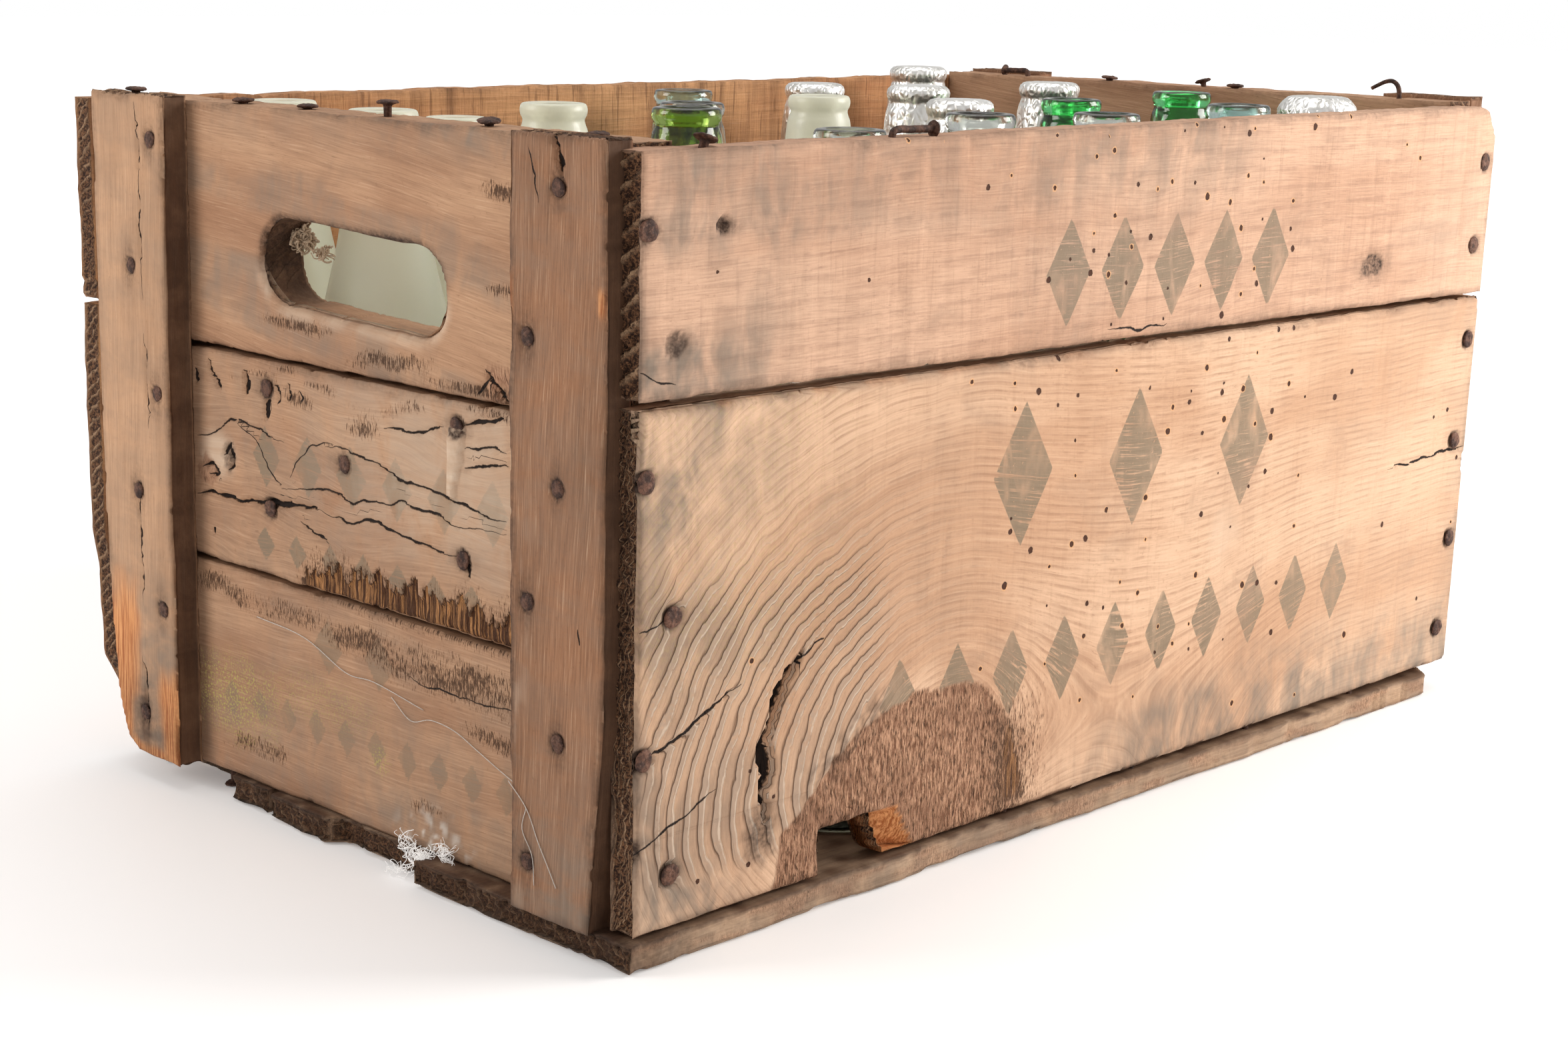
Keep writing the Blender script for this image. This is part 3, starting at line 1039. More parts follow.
def middle_relief(u, v):
    out = -1.9 * torn_edge(u, v) * (0.7 + 0.4 * noise(u / 1.2, v / 9, 85))
    out = out - 1.1 * ease(7, 2, np.abs(u + 65 - 0.2 * (165 - v))) * ease(166, 162, v) * ease(146, 152, v)
    out = out + 1.6 * flap(u, v)
    lifted = ease(118.5, 121, v) * ease(95, 40, u)
    return out + 0.5 * lifted + 0.35 * noise(u / 16, v / 10, 86) + 0.2 * noise(u / 30, v / 2.6, 87)


def middle_paint(u, v, w, part, on):
    face = part == 0
    on["fleck"] += face * (torn_edge(u, v) + 0.5 * ease(40, 20, u)
                           * ease(112, 100, v + 4 * noise(u / 3, 0 * u, 67)))
    on["dirt"] *= 1 - 0.7 * face * torn_edge(u, v)
    on["stain"] += face * 0.5 * ease(87, 98, u)
    on["fleck"] += face * 0.62 * np.maximum(ease(5, 1, np.hypot((u + 7) / 2.6, v - 157)),
                                            ease(4, 1, np.hypot((u - 30) / 3, v - 162)))
    on["pale"] += face * (0.45 * ease(104, 128, v) * ease(60, -60, u) + 0.8 * flap(u, v))
    on["pale"] += face * 0.7 * ease(12, 4, np.hypot((u - 84) / 1.4, v - 134))
    on["dirt"] += face * 0.8 * ease(5, 2, np.hypot(u - 76, (v - 134) / 1.3) + 1.5 * noise(u / 2, v / 2, 88))
    on["patch"] += face * 0.8 * ease(7, 4, np.hypot((u - 91) / 1.2, v - 127) + 2 * noise(u / 2, v / 2, 89))
    on["fleck"] += face * 0.5 * ease(0.1, 0.6, noise(u / 12, v / 4, 90)) * ease(158, 170, v)
    on["grey"] += face * 0.3


def low_paint(u, v, w, part, on):
    face = part == 0
    band = np.abs(v - 81 - 0.05 * (u - 40) + 2 * noise(u / 11, 0 * u, 91)) / (4 + 3.5 * ease(30, -30, u))
    on["fleck"] += face * (0.66 * ease(1.5, 0.4, band) * (0.75 + 0.4 * noise(u / 9, v / 9, 92))
                           + 0.45 * ease(88, 91, v) * ease(60, -20, u))
    on["fleck"] += face * 0.6 * ease(5, 1, np.abs(v - 59 - 0.1 * (u + 80))) * ease(-56, -72, u)
    on["fleck"] += face * 0.5 * ease(6, 1, np.abs(v - 25)) * ease(0.1, 0.6, noise(u / 12, v / 9, 94))
    on["stain"] += face * 0.5 * ease(87, 98, u)
    on["lichen"] += face * (0.85 * ease(34, 6,
                                        np.hypot((u - 78) / 1.3, (v - 42) * 1.5)
                                        + 6 * noise(u / 5, v / 5, 95))
                            + 0.7 * ease(8, 2, np.hypot(u + 14, v - 37))
                            + 0.35 * ease(30, 5, np.hypot((u - 20) / 1.6, (v - 52) * 2)))
    on["grey"] += face * (0.18 + 0.3 * ease(50, 15, v) + 0.25 * ease(-0.2, 0.6, noise(u / 40, v / 6, 96)))
    on["web"] += face * 0.7 * ease(0.0, 0.8, noise(u / 2.4, v / 2.4, 97)) * ease(17, 4,
        np.hypot((u + 45) / 1.7, v - 14))


def low_relief(u, v):
    return 0.3 * noise(u / 50, v / 5, 98)


for end in ("near", "far"):
    is_near = end == "near"
    fine = 1.1 if is_near else COARSE
    board(f"{end}_end_middle_board_worn", end, rect(-143.75, 143.75, 92.9, 174.1), 18, fine, wood_end,
          "end_wood",
          relief=middle_relief if is_near else None, paint=middle_paint if is_near else None,
          halo=0.22, stencil=end_stencil if is_near else None,
          cracks=MIDDLE_CRACKS if is_near else [([(-90, 130), (-20, 133), (60, 128)], 0.4, 1.0)],
          nails=[(51, 163.5), (4, 142.5), (-59, 165), (50, 119), (-62, 119.5)] if is_near else [],
          seed=22 if is_near else 32, ragged=0.6,
          rings=lambda u, v, w: (v + 0.05 * u + 0.9 * w + 6 * fbm(u / 60, v / 26, 99)) / 4.2,
          grain=lambda u, v, w: (u, v + 7 * fbm(u / 60, v / 30, 100), w))
    board(f"{end}_end_bottom_board_worn", end, rect(-143.75, 143.75, 10, 92.1), 18,
          1.4 if is_near else COARSE,
          wood_end, "end_wood", relief=low_relief if is_near else None,
          paint=low_paint if is_near else None,
          seed=23 if is_near else 33, ragged=0.6, stencil=low_stencil if is_near else None,
          cracks=[([(-90, 72), (-60, 70), (-30, 72)], 0.25, 0)] if is_near else [])

# ---- The cleats ----
CLEAT_NAILS = (250, 202, 155, 115.5, 71, 27)


def cleat_points(side):
    out = []
    for i, z in enumerate(CLEAT_NAILS):
        odd = (i + (0 if side < 0 else 1)) % 2
        out.append((z, side * (115 + (7.5 if odd == 0 else -7.5))))
    return out


def front_cleat_paint(u, v, w, part, on):
    face = part == 0
    on["grey"] += face * (0.3 + 0.5 * ease(60, 20, u))
    on["fresh"] += face * (0.8 * ease(2.5, 0.5, np.abs(v + 143 + 0.02 * (u - 215)))
                           * ease(6, 2, np.abs(u - 216))
                           + 0.6 * ease(2.5, 0.5, np.abs(v + 99)) * ease(10, 3, np.abs(u - 214)))
    on["dirt"] += face * 0.35 * ease(-104, -99, v)
    on["stain"] += (part == 1) * (v < -120) * 0.95
    on["pale"] += face * 0.3 * ease(0.4, 0.8, noise(u / 14, v / 3, 101)) * ease(-115, -100, v)


def back_cleat_paint(u, v, w, part, on):
    face = part == 0
    wander = 5 * noise(u / 9, v / 5, 102)
    broken = ease(88, 62, u + wander) * ease(124, 132, v + 0.6 * wander + 0.12 * (u - 40))
    broken = np.maximum(broken, ease(50, 34, u + wander) * ease(113, 106, v + 0.5 * wander))
    broken = np.maximum(broken, ease(17, 11, u + 0.6 * wander))
    on["fresh"] += face * 0.9 * broken
    on["dirt"] *= 1 - 0.8 * broken
    on["grey"] += face * 0.6 * ease(100, 40, u) * (1 - broken)
    on["stain"] += face * 0.6 * ease(5, 2, np.hypot((u - 24) / 3.2, v - 122))
    on["stain"] += (part == 1) * (v < 103) * 0.95
    on["grey"] += face * 0.3
    on["dirt"] += face * 0.3 * ease(60, 15, u)


for end in ("near", "far"):
    for side, word in ((-1, "front"), (1, "back")):
        is_near = end == "near"
        inner, outer = side * 98.55, side * 143.55
        v0, v1 = min(inner, outer), max(inner, outer)
        outline = rect(10, 266.7, v0, v1)
        cracks, paint, material = [], None, wood_cleat
        if is_near and word == "back":
            outline = [(9.6, 99.5), (266.7, 98), (266.7, 146.8), (94, 146.9), (60, 144.6), (44, 143.1),
                       (29, 141.5), (20, 138), (14.5, 135.5), (9.6, 128)]
            cracks = [([(264, 116), (240, 114.6), (215, 115.4), (190, 114.5)], 0.26, 1.0),
                      ([(178, 114.5), (160, 113.5), (140, 113)], 0.24, 0.9),
                      ([(120, 122), (95, 121), (70, 121.5)], 0.3, 0.9),
                      ([(50, 122), (36, 120.5), (20, 119.5)], 0.35, 1.0)]
            paint, material = back_cleat_paint, wood_cleat_pale
        if is_near and word == "front":
            outline = [(8.6, -137.8), (27, -139.4), (46, -140.8), (68, -143.6), (91, -144.9), (228, -145.6),
                       (266.7, -144.9), (266.7, -98.3), (8.6, -98.6)]
            cracks = [([(266.5, -121.5), (260, -122), (254, -124)], 0.8, 2.4),
                      ([(262, -108), (252, -112), (244, -113)], 0.25, 0),
                      ([(112, -133), (106, -133)], 0.3, 0)]
            paint = front_cleat_paint
        board(f"{end}_{word}_cleat_worn", f"{end}_cleat", outline, 11, halo=0.3, head=3.1,
              step= 1.15 if is_near else 1.8, material=material, slot="cleat_wood",
              cracks=cracks, paint=paint, nails=cleat_points(side), seed=40 + 2 * is_near + (side > 0),
              ragged=0.5, edge=1.3,
              relief=lambda u, v: 0.3 * noise(u / 50, v / 14, 103) + 0.16 * noise(u / 20, v / 2.5, 104),
              rings=lambda u, v, w: (v + 0.06 * u + 0.7 * w + 6 * fbm(u / 120, v / 30, 105)) / 5.5,
              grain=lambda u, v, w: (u, v + 0.05 * u + 5 * fbm(u / 110, v / 30, 106), w))


# ---- The bottom ----
def bottom_paint(u, v, w, part, on):
    on["grey"] += 0.3 * (part < 2) + 0.2 * ease(100, -150, u)
    on["dirt"] += 0.12 * ease(150, -200, u) - 0.2 * (part == 1)
    on["dirt"] += 0.3 * ease(-210, -250, u)
    on["stain"] += 0.55 * ease(-238, -249, u) + 0.85 * (part == 2)
    on["patch"] += (part == 1) * 0.5 * ease(-0.1, 0.5, noise(u / 14, w / 4, 107))
    on["stain"] *= 0.7 + 0.5 * noise(u / 6, v / 6, 109)


BOTTOMS = {
    "bottom_front_board": [(-257, -156.5), (234, -156.5), (252, -136), (256, -43.5), (-257, -43.5)],
    "bottom_middle_board": [(-250, -41.5), (256, -41.5), (256, 50.5), (-253, 50.5), (-254, 12), (-249, 8)],
    "bottom_back_board": [(-251, 52.5), (256, 52.5), (256, 156.5), (-232, 156.5), (-236, 84), (-250, 78)],
}
BOTTOM_NAILS = [(end * 238.5, side * y) for end in (-1, 1) for side in (-1, 1)
                for y in (20, 62, 92, 134)] + [
    (x, side * 149.25) for side in (-1, 1) for x in (-200, -60, 20, 100, 180)]
for k, (piece, outline) in enumerate(BOTTOMS.items()):
    low, high = min(p[1] for p in outline), max(p[1] for p in outline)
    board(piece + "_worn", "under", outline, 10, 1.9, wood_bottom, "side_wood", seed=51 + k,
          ragged=0.9 + 0.5 * (k > 0), edge=1.6,
          relief=lambda u, v: -0.4 - 0.35 * noise(u / 40, v / 12, 108), paint=bottom_paint, end_cut=1.6,
          nails=[p for p in BOTTOM_NAILS if low < p[1] < high],
          cracks=[([(-257, low + 38), (-200, low + 41), (-120, low + 39)], 0.6, 1.6),
                  ([(90, high - 30), (170, high - 27), (256, high - 29)], 0.5, 1.4)])

# ------------------------------------------------------------------ nails


def turned(verts, at, direction):
    """Points made about +Z, turned so that +Z lies along direction and moved to at."""
    rot = np.array(Vector((0, 0, 1)).rotation_difference(Vector(direction)).to_matrix())
    return np.asarray(verts) @ rot.T + np.asarray(at, float)


def nail(parts, at, direction, length, seed, sink=0.5, radius=3.8, tint=0.0):
    """A cut nail with a worn, slightly domed head; sink is how far below its CAD place the head sits."""
    rng = np.random.default_rng(seed)
    lean, twist = rng.uniform(-0.45, 0.45, 2), rng.uniform(0, 6.28)
    head = [(0, 0.95), (0.5, 1.0), (1.4, 1.02), (2.2, 0.96), (2.9, 0.86), (3.3, 0.72), (3.62, 0.5),
            (3.72, 0.22),
            (3.6, -0.05), (3.1, -0.25), (1.6, -0.5), (1.3, -1.2)]
    scale = radius / 3.8
    profile = [(r * scale, z) for r, z in head] + [(1.3, -length), (0.7, -length - 0.6), (0, -length - 0.8)]

    def dent(a, z, r):
        size = np.where(r > 1.35, 1, 0)
        return size * (0.16 * np.sin(2 * a + twist) + 0.1 * np.sin(3 * a + 2 * twist)
                       + 0.14 * noise(3 * np.cos(a) + seed, 3 * np.sin(a), seed))

    verts, faces = lathe([(r, z) for r, z in profile[::-1]], 28, dent)
    top = verts[:, 2] > -0.6
    verts[:, 2] += np.where(top, 0.22 * noise(verts[:, 0] / 1.1, verts[:, 1] / 1.1, seed + 5), 0)
    direction = np.asarray(direction, float)
    verts[:, 2] += np.where(top, 0.05 * (lean[0] * verts[:, 0] + lean[1] * verts[:, 1]), 0)
    points = turned(verts, np.asarray(at, float) - direction * sink, direction)
    parts.add(racked(bowed(points) if direction[1] > 0.9 else points), faces, tint)


for side, word in ((-1, "front"), (1, "back")):
    parts = Parts()
    for k, (x, z) in enumerate(side_nails_at()):
        deep = 1.9 if side < 0 and (x, z) == (-237.5, 203) else 0.55
        nail(parts, (x, side * FRONT_Y, z), (0, side, 0), 20, 100 + k, deep)
    finish_piece(parts.object(f"{word}_side_nail_set"), iron, "crate", "rusty_iron", f"{word}_side_nails")

for end, word in ((-1, "near"), (1, "far")):
    parts = Parts()
    for side in (-1, 1):
        for k, (z, y) in enumerate(cleat_points(side)):
            nail(parts, (end * CLEAT_X, y, z), (end, 0, 0), 20, 200 + k + 10 * side, 0.9, 3.1, 0.2)
    finish_piece(parts.object(f"{word}_cleat_nail_set"), iron, "crate", "rusty_iron", f"{word}_cleat_nails")

parts = Parts()
for k, (y, z) in enumerate(((51, 163.5), (4, 142.5), (-59, 165), (50, 119), (-62, 119.5))):
    nail(parts, (-END_X, y, z), (-1, 0, 0), 12, 300 + k, 0.0, 3.3, 0.2)
finish_piece(parts.object("end_repair_nail_set"), iron, "crate", "rusty_iron", "end_repair_nails")

parts = Parts()
for k, (x, y) in enumerate(BOTTOM_NAILS):
    nail(parts, (x, y, 1.2), (0, 0, -1), 18, 400 + k, 0.3, 3.8, 0.3)
finish_piece(parts.object("bottom_nail_set"), iron, "crate", "rusty_iron", "bottom_nails")

# Nails that once held a lid: at, lean as a direction, and how far the head stands up
RIM_NAILS = [
    ((-250, 128, 266.7), (0, 0, 1), 0.4), ((-238.5, 75, 265.2), (0, 0, 1), 0.4),
    ((-238.5, 35.5, 265.2), (0, 0, 1), 0.3),
    ((-238.5, -11, 265.2), (0, 0, 1), 4.2), ((-238.5, -65.5, 265.2), (-0.17, -0.14, 0.97), 1.2),
    ((-238.5, -119, 265.2), (0, 0, 1), 0.2), ((-222, -149.2, 263.5), (0.41, 0.1, 0.9), 2.2),
    ((238.5, 48, 265.2), (0, -0.1, 0.99), 0.8), ((238.5, -7.5, 265.2), (0, 0.28, 0.96), 1.8),
    ((238.5, -25.5, 265.2), (0, 0, 1), 0.5),
]
parts = Parts()
for k, (at, lean, stand) in enumerate(RIM_NAILS):
    lean = np.array(lean) / np.linalg.norm(lean)
    nail(parts, np.array(at) + lean * stand, lean, stand + 10, 500 + k, 0.1, 4.0, 0.25)
for k, (at, along) in enumerate((((-135.5, -149.2, 263.5), (21, 0, 0)), ((238.5, 99, 265.2), (0, 15, 0)))):
    at, along = np.array(at, float), np.array(along, float)
    elbow = at + (0, 0, 1.5)
    line = rounded([at - (0, 0, 9), at - (0, 0, 2), elbow + along * 0.08,
                    elbow + along * 0.5 + (0, 0.5, 0.1), elbow + along], 6)
    verts, faces = tube(line, 1.3, 12)
    parts.add(racked(verts + 0.12 * noise(verts[:, 0] * 0.9, verts[:, 1] * 0.9 + verts[:, 2], 31 + k)[:,
        None]), faces, 0.35)
    tip = along / np.linalg.norm(along)
    nail(parts, elbow + along, tip, 2, 520 + k, 0.3, 2.9, 0.3)
finish_piece(parts.object("lid_nail_set"), iron, "crate", "rusty_iron", "lid_nails")

parts = Parts()
hook = rounded([(238.5, -113, 254), (238.5, -113, 264), (238.5, -112.7, 268), (238.5, -111.4, 270.6),
                (238.5, -108.9, 272.0),
                (238.5, -105.6, 271.6), (238.5, -102, 270.0), (238.5, -98.8, 268.4)], 5)
verts, faces = tube(hook, np.linspace(1.15, 0.85, len(hook)), 12)
parts.add(racked(verts), faces, 0.3)
finish_piece(parts.object("hook_nail_bent"), iron, "crate", "rusty_iron", "hook_nail")

# ------------------------------------------------------------------ bottles

LIP_R, MOUTH_R, BODY_R, FLOOR = 13.25, 8.2, 30.5, 10.0
NECK = [(LIP_R - 0.4, 0.9), (LIP_R, 2.6), (LIP_R - 0.3, 4.6), (LIP_R - 1.1, 6.4), (LIP_R - 0.7, 8.4),
        (LIP_R + 0.05, 10.6), (LIP_R + 0.7, 16), (LIP_R + 1.9, 30), (LIP_R + 3.8, 47)]
SHOULDER = [(21.7, 68), (25.6, 84), (28.8, 97), (30, 104)]
GLASS_T = 3.2


def bottle_shape(h, seed):
    """A bottle's closed surface, inside and out, with the slight unevenness of old glass."""
    outside = rounded([(BODY_R, h - 112)] + [(r, h - d) for r, d in SHOULDER[::-1]]
                      + [(r, h - d) for r, d in NECK[::-1]]
                      + [(LIP_R - 1.1, h - 0.2), (LIP_R - 2.4, h), (MOUTH_R + 1.2, h - 0.1),
                         (MOUTH_R + 0.2, h - 0.9), (MOUTH_R, h - 2.4)], 5)
    outside[:, 0] = np.minimum(outside[:, 0], BODY_R)
    inside = rounded([(MOUTH_R, h - 3.2), (MOUTH_R, h - 9), (MOUTH_R, h - 16), (MOUTH_R + 3.2, h - 32)]
                     + [(r - GLASS_T, h - d - 1) for r, d in [NECK[-1]] + SHOULDER]
                     + [(BODY_R - GLASS_T, h - 113)], 4)
    foot = [(0, 3), (9, 2.9), (18, 2.6), (21.5, 0.9), (23.5, 0.05), (26.5, 0.05), (28.2, 0.6), (29.3, 1.6),
            (30.2, 3.2), (BODY_R, 5), (BODY_R, 20)]
    low = [(BODY_R, z) for z in np.linspace(40, h - 130, 4)]
    inner_low = [(BODY_R - GLASS_T, z) for z in np.linspace(h - 130, 30, 4)] + [(BODY_R - GLASS_T, 12),
        (26, 9), (24, 6.8), (12, 7.2), (0, 7.4)]
    profile = np.concatenate([foot, low, outside, inside, inner_low])

    def dent(a, z, r):
        seam = 0.10 * np.exp(-((np.sin(a + seed) / 0.02) ** 2)) * (z < h - 14) * (z > 6)
        return -0.12 + 0.10 * noise(2 * np.cos(a) + seed, z / 22 + 2 * np.sin(a), seed) * np.minimum(1,
            r / 8) + seam * 0.8 * (r > 12)

    return lathe(profile, 72, dent)


GLASSES = {
    "frosted": glass("frosted_glass", rgb(244, 243, 226), 0.3, 0.2, 0.42, 0.05),
    "clear": glass("clear_glass", rgb(244, 247, 243), 0.02, 0.14),
    "olive": glass("olive_glass", rgb(168, 196, 104), 0.03, 0.12),
    "aqua": glass("aqua_glass", rgb(214, 238, 234), 0.03, 0.14),
    "emerald": glass("emerald_glass", rgb(132, 240, 160), 0.02, 0.1),
}
FOIL = foil_material()

# Column from the near end, row from the front, how far it has slid in x and y, height, glass, foil
BOTTLES = [
    (0, 2, -8, 10, 253, "frosted", 0), (0, 3, -8, 2, 253, "frosted", 0), (1, 0, 7, 2, 252, "clear", 0),
    (1, 1, -5, 2, 256, "olive", 0), (1, 2, -10, 0, 254, "frosted", 0), (1, 3, -8, -9, 245, "frosted", 0),
    (2, 0, -5, -4, 256, "clear", 0), (2, 2, -20, -8, 253, "clear", 0), (3, 0, -6, -5, 254, "clear", 0),
    (3, 1, -13, -7, 255, "clear", 1), (3, 2, -22, -8, 254, "frosted", 0), (3, 3, -21, 5, 252, "aqua", 0),
    (4, 0, 7, -5, 255, "aqua", 0), (4, 1, 3, 8, 253, "emerald", 0), (4, 2, -35, -8, 256, "clear", 1),
    (4, 3, -20, -2, 253, "clear", 1), (5, 0, -7, -3, 256, "clear", 2), (5, 1, -6, -2, 255, "emerald", 0),
    (5, 2, -27, -14, 256, "clear", 1), (5, 3, -16, 5, 259, "clear", 1),
]


def foil_shape(h, seed, loose):
    """A cap of thin foil pressed over the lip, with sharp creases; loose makes it wide and domed."""
    swell = 4.0 if loose else 0.0
    neck = [(r, d) for r, d in NECK if d < 40]
    skirt = 33.0 if loose else 38.0
    neck = rounded([(p[0], p[1]) for p in neck], 5)
    neck = neck[neck[:, 1] < skirt]
    outside = [(r + 0.55 + swell * min(1, d / 6), h - d) for r, d in neck]
    lid = [(0, h + 0.7), (4, h + 0.7), (8, h + 0.72), (LIP_R - 2.6, h + 0.7),
           (LIP_R - 1.2 + swell * 0.1, h + 0.35)]
    inside = [(r + 0.22, h - d) for r, d in neck[::-1]] + [(LIP_R - 1.6, h + 0.22), (0, h + 0.22)]
    profile = lid + outside + inside
    edge = len(lid)

    def dent(a, z, r):
        depth = h - z
        u, v = a * 13 / 2.4, z / 2.6
        crease = np.abs(noise(u, v + 0.5 * np.sin(3 * a), seed)) + 0.6 * np.abs(noise(u * 2.1, v * 1.9,
            seed + 1))
        pleat = np.abs(np.sin(9 * a + 3 * noise(a * 2, z / 9, seed + 2)))
        size = (0.75 if loose else 0.3)
        move = size * (0.9 - crease) * 0.55 + (0.5 if loose else 0.22) * (pleat - 0.6) * np.clip(depth / 12,
            0, 1)
        row = np.arange(z.shape[0])[:, None]
        outer = row < edge + len(outside) - 2
        return np.where(outer & (r > 5), np.clip(move, -0.22, 0.9), 0.0)

    verts, faces = lathe(profile, 120, dent)
    top = verts[:, 2] > h + 0.6
    verts[:, 2] += np.where(top, 0.12 * np.abs(noise(verts[:, 0] / 2, verts[:, 1] / 2, seed + 3)), 0)
    return verts, [f[:, ::-1] for f in faces]


for k, (col, row, dx, dy, height, kind, foil) in enumerate(BOTTLES):
    tag = "abcdef"[col] + str(row + 1)
    x, y = (col - 2.5) * 76 + dx, (row - 1.5) * 71 + dy
    turn = 0.7 * k
    verts, faces = bottle_shape(height, 7 + k)
    spin = np.array([[math.cos(turn), -math.sin(turn), 0], [math.sin(turn), math.cos(turn), 0], [0, 0, 1]])
    obj = mesh_object(f"bottle_{tag}_glass", verts @ spin.T + (x, y, FLOOR), faces)
    finish_piece(obj, GLASSES[kind], f"bottle_{tag}", f"{kind}_glass", f"bottle_{tag}")
    if foil:
        verts, faces = foil_shape(height, 40 + 3 * k, foil == 2)
        obj = mesh_object(f"foil_{tag}_cap", verts @ spin.T + (x, y, FLOOR), faces)
        finish_piece(obj, FOIL, f"bottle_{tag}", "crumpled_foil", f"foil_{tag}")

# ------------------------------------------------------------------ cobweb and dust


def fluff(name, tone, glow=0.0):
    g = Nodes(name)
    place = g.node("ShaderNodeTexCoord", {}, "Object")
    speck = g.noise(place, (900, 900, 900), 3, 0.7)
    colour = g.mix(g.ease(speck, 0.4, 0.65), tone, tuple(0.75 * c for c in tone))
    return g.surface(Base_Color=colour, Roughness=0.9, Specular_IOR_Level=0.1, Emission_Color=tone,
                     Emission_Strength=glow)


def tangle(parts, middle, spread, count, length, radius, seed):
    """Fine loose threads wound through one another round a middle point."""
    rng = np.random.default_rng(seed)
    for _ in range(count):
        start = np.array(middle) + rng.normal(0, 0.5, 3) * spread
        steps = [start]
        heading = rng.normal(0, 1, 3)
        for _ in range(5):
            heading = heading + rng.normal(0, 0.7, 3) - 0.6 * (steps[-1] - middle) / spread
            steps.append(steps[-1] + heading / np.linalg.norm(heading) * length / 5)
        line = rounded(steps, 3)
        line[:, 2] = np.maximum(line[:, 2], 0.6)
        parts.add(*tube(line, radius * rng.uniform(0.6, 1.3), 4), 0.0)


parts = Parts()
for k, (middle, spread, count) in enumerate((((-250.5, -43, 8), (1.8, 6, 4), 120),
    ((-249.5, -53, 13), (1.0, 5, 3), 34),
                                             ((-250.0, -33, 11), (1.2, 4, 3), 24),
                                             ((-254, -32, 3), (2, 4, 1.5), 16))):
    tangle(parts, np.array(middle, float), np.array(spread, float), count, 8, 0.12, 700 + k)
finish_piece(parts.object("cobweb_fluff"), fluff("cobweb", (0.92, 0.9, 0.88), 0.25), "crate", None)

parts = Parts()
for path in ([(-247.9, -21.6, 62.6), (-248.1, -32.8, 56.5), (-248.1, -44, 59.2), (-248.1, -57.1, 58.3),
              (-248.1, -69.9, 54), (-248.1, -82.6, 49.6), (-248.3, -97.5, 45)],
             [(-258.9, -99, 53), (-258.9, -108, 45.8), (-258.9, -114, 35.7), (-258.9, -119, 28.2),
              (-258.9, -123, 22)],
             [(-258.9, -108, 45.8), (-258.9, -106, 38), (-258.9, -111, 30), (-258.9, -112, 20)],
             [(-248, 60, 76), (-248.1, 30, 74), (-248.1, 5, 66), (-248.1, -12, 66), (-248.1, -40, 62)]):
    parts.add(*tube(rounded(path, 6), 0.16, 5), 0.0)
finish_piece(parts.object("loose_threads"), fluff("thread", (0.62, 0.56, 0.5)), "crate", None)

parts = Parts()
tangle(parts, np.array((-233.5, 47.0, 217.0)), np.array((2.4, 4.2, 2.6)), 110, 7, 0.42, 720)
tangle(parts, np.array((-232.5, 36.0, 213.0)), np.array((1.6, 2.8, 1.8)), 30, 6, 0.3, 721)
finish_piece(parts.object("old_cocoon"), fluff("cocoon", (0.56, 0.42, 0.29)), "crate", None)

# ------------------------------------------------------------------ floor and light

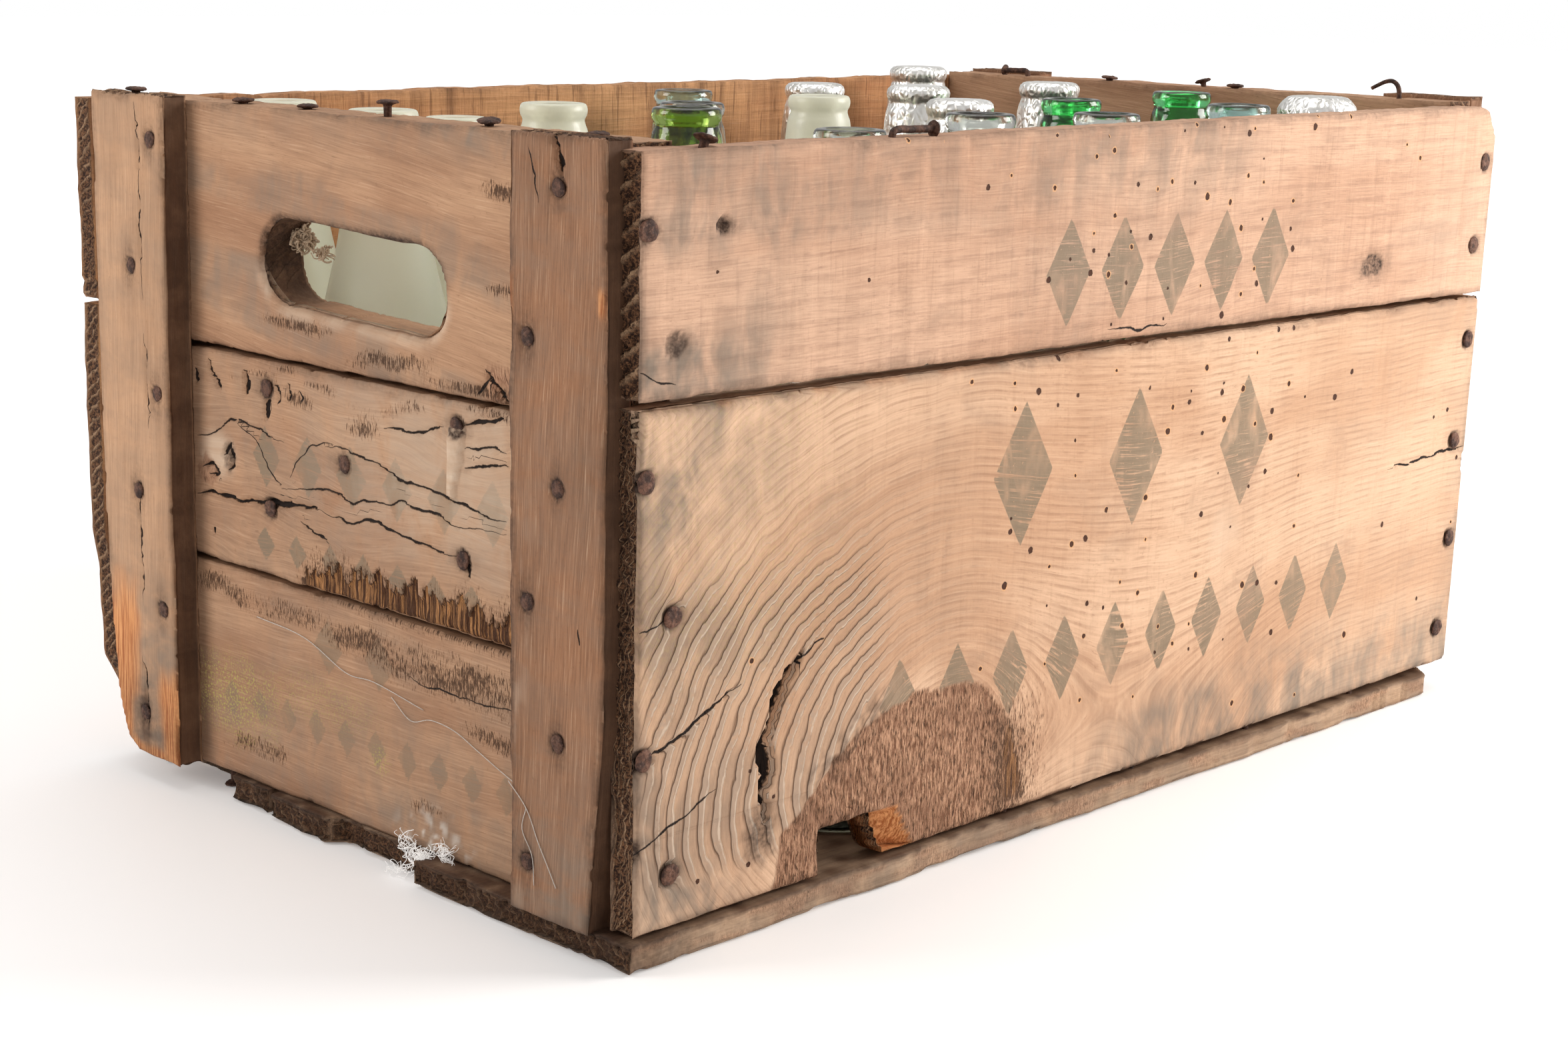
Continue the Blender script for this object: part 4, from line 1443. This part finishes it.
floor_nodes = Nodes("pale_floor")
floor_place = floor_nodes.node("ShaderNodeTexCoord", {}, "Object")
spot = floor_nodes.noise(floor_place, (3, 3, 3), 2)
away = floor_nodes.node("ShaderNodeVectorMath", {0: floor_place}, "Value", operation="LENGTH")
glow = floor_nodes.math("MULTIPLY_ADD", floor_nodes.ease(away, 0.35, 2.2), 0.5, 0.2)
floor_paint = floor_nodes.surface(Base_Color=floor_nodes.mix(spot, (0.865, 0.855, 0.855),
    (0.89, 0.885, 0.885)), Roughness=0.5,
                                  Specular_IOR_Level=0.3, Emission_Color=(1.0, 0.985, 0.975),
                                  Emission_Strength=glow)
floor = mesh_object("floor", [(-9000, -9000, 0), (9000, -9000, 0), (9000, 9000, 0), (-9000, 9000, 0)],
                    [[[0, 1, 2, 3]]], smooth=False)
floor.data.materials.append(floor_paint)
floor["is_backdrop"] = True

world = bpy.data.worlds.new("studio")
bpy.context.scene.world = world
world.use_nodes = True
tree = world.node_tree
tree.nodes.clear()
sky = tree.nodes.new("ShaderNodeBackground")
sky.inputs[0].default_value = (1.0, 0.985, 0.97, 1)
sky.inputs[1].default_value = 0.5
seen = tree.nodes.new("ShaderNodeBackground")
seen.inputs[0].default_value = (1, 1, 1, 1)
seen.inputs[1].default_value = 1.0
path = tree.nodes.new("ShaderNodeLightPath")
blend = tree.nodes.new("ShaderNodeMixShader")
out = tree.nodes.new("ShaderNodeOutputWorld")
tree.links.new(path.outputs["Is Camera Ray"], blend.inputs[0])
tree.links.new(sky.outputs[0], blend.inputs[1])
tree.links.new(seen.outputs[0], blend.inputs[2])
tree.links.new(blend.outputs[0], out.inputs[0])


def softbox(name, at_m, target_m, size, power, colour=(1, 1, 1)):
    lamp = bpy.data.lights.new(name, "AREA")
    lamp.shape, lamp.size, lamp.size_y = "RECTANGLE", size[0], size[1]
    lamp.energy, lamp.color = power, colour
    obj = bpy.data.objects.new(name, lamp)
    bpy.context.scene.collection.objects.link(obj)
    obj.location = at_m
    obj.rotation_mode = "QUATERNION"
    obj.rotation_quaternion = (Vector(target_m) - Vector(at_m)).to_track_quat("-Z", "Y")


softbox("key_light", (1.0, -0.88, 0.68), (0.15, -0.1, 0.12), (0.7, 0.7), 19, (1.0, 0.975, 0.94))
softbox("top_light", (0.1, 0.3, 1.9), (0, 0, 0.1), (1.6, 1.6), 14, (1.0, 0.99, 0.98))
softbox("near_light", (-1.25, 0.75, 0.75), (-0.25, 0, 0.12), (0.6, 0.6), 8, (1.0, 0.97, 0.94))
softbox("front_fill", (-0.9, -1.5, 0.8), (-0.1, 0, 0.1), (1.2, 1.2), 0.6, (1.0, 0.98, 0.96))

scene = bpy.context.scene
scene.view_settings.view_transform = "Standard"
scene.view_settings.look = "None"

low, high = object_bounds()
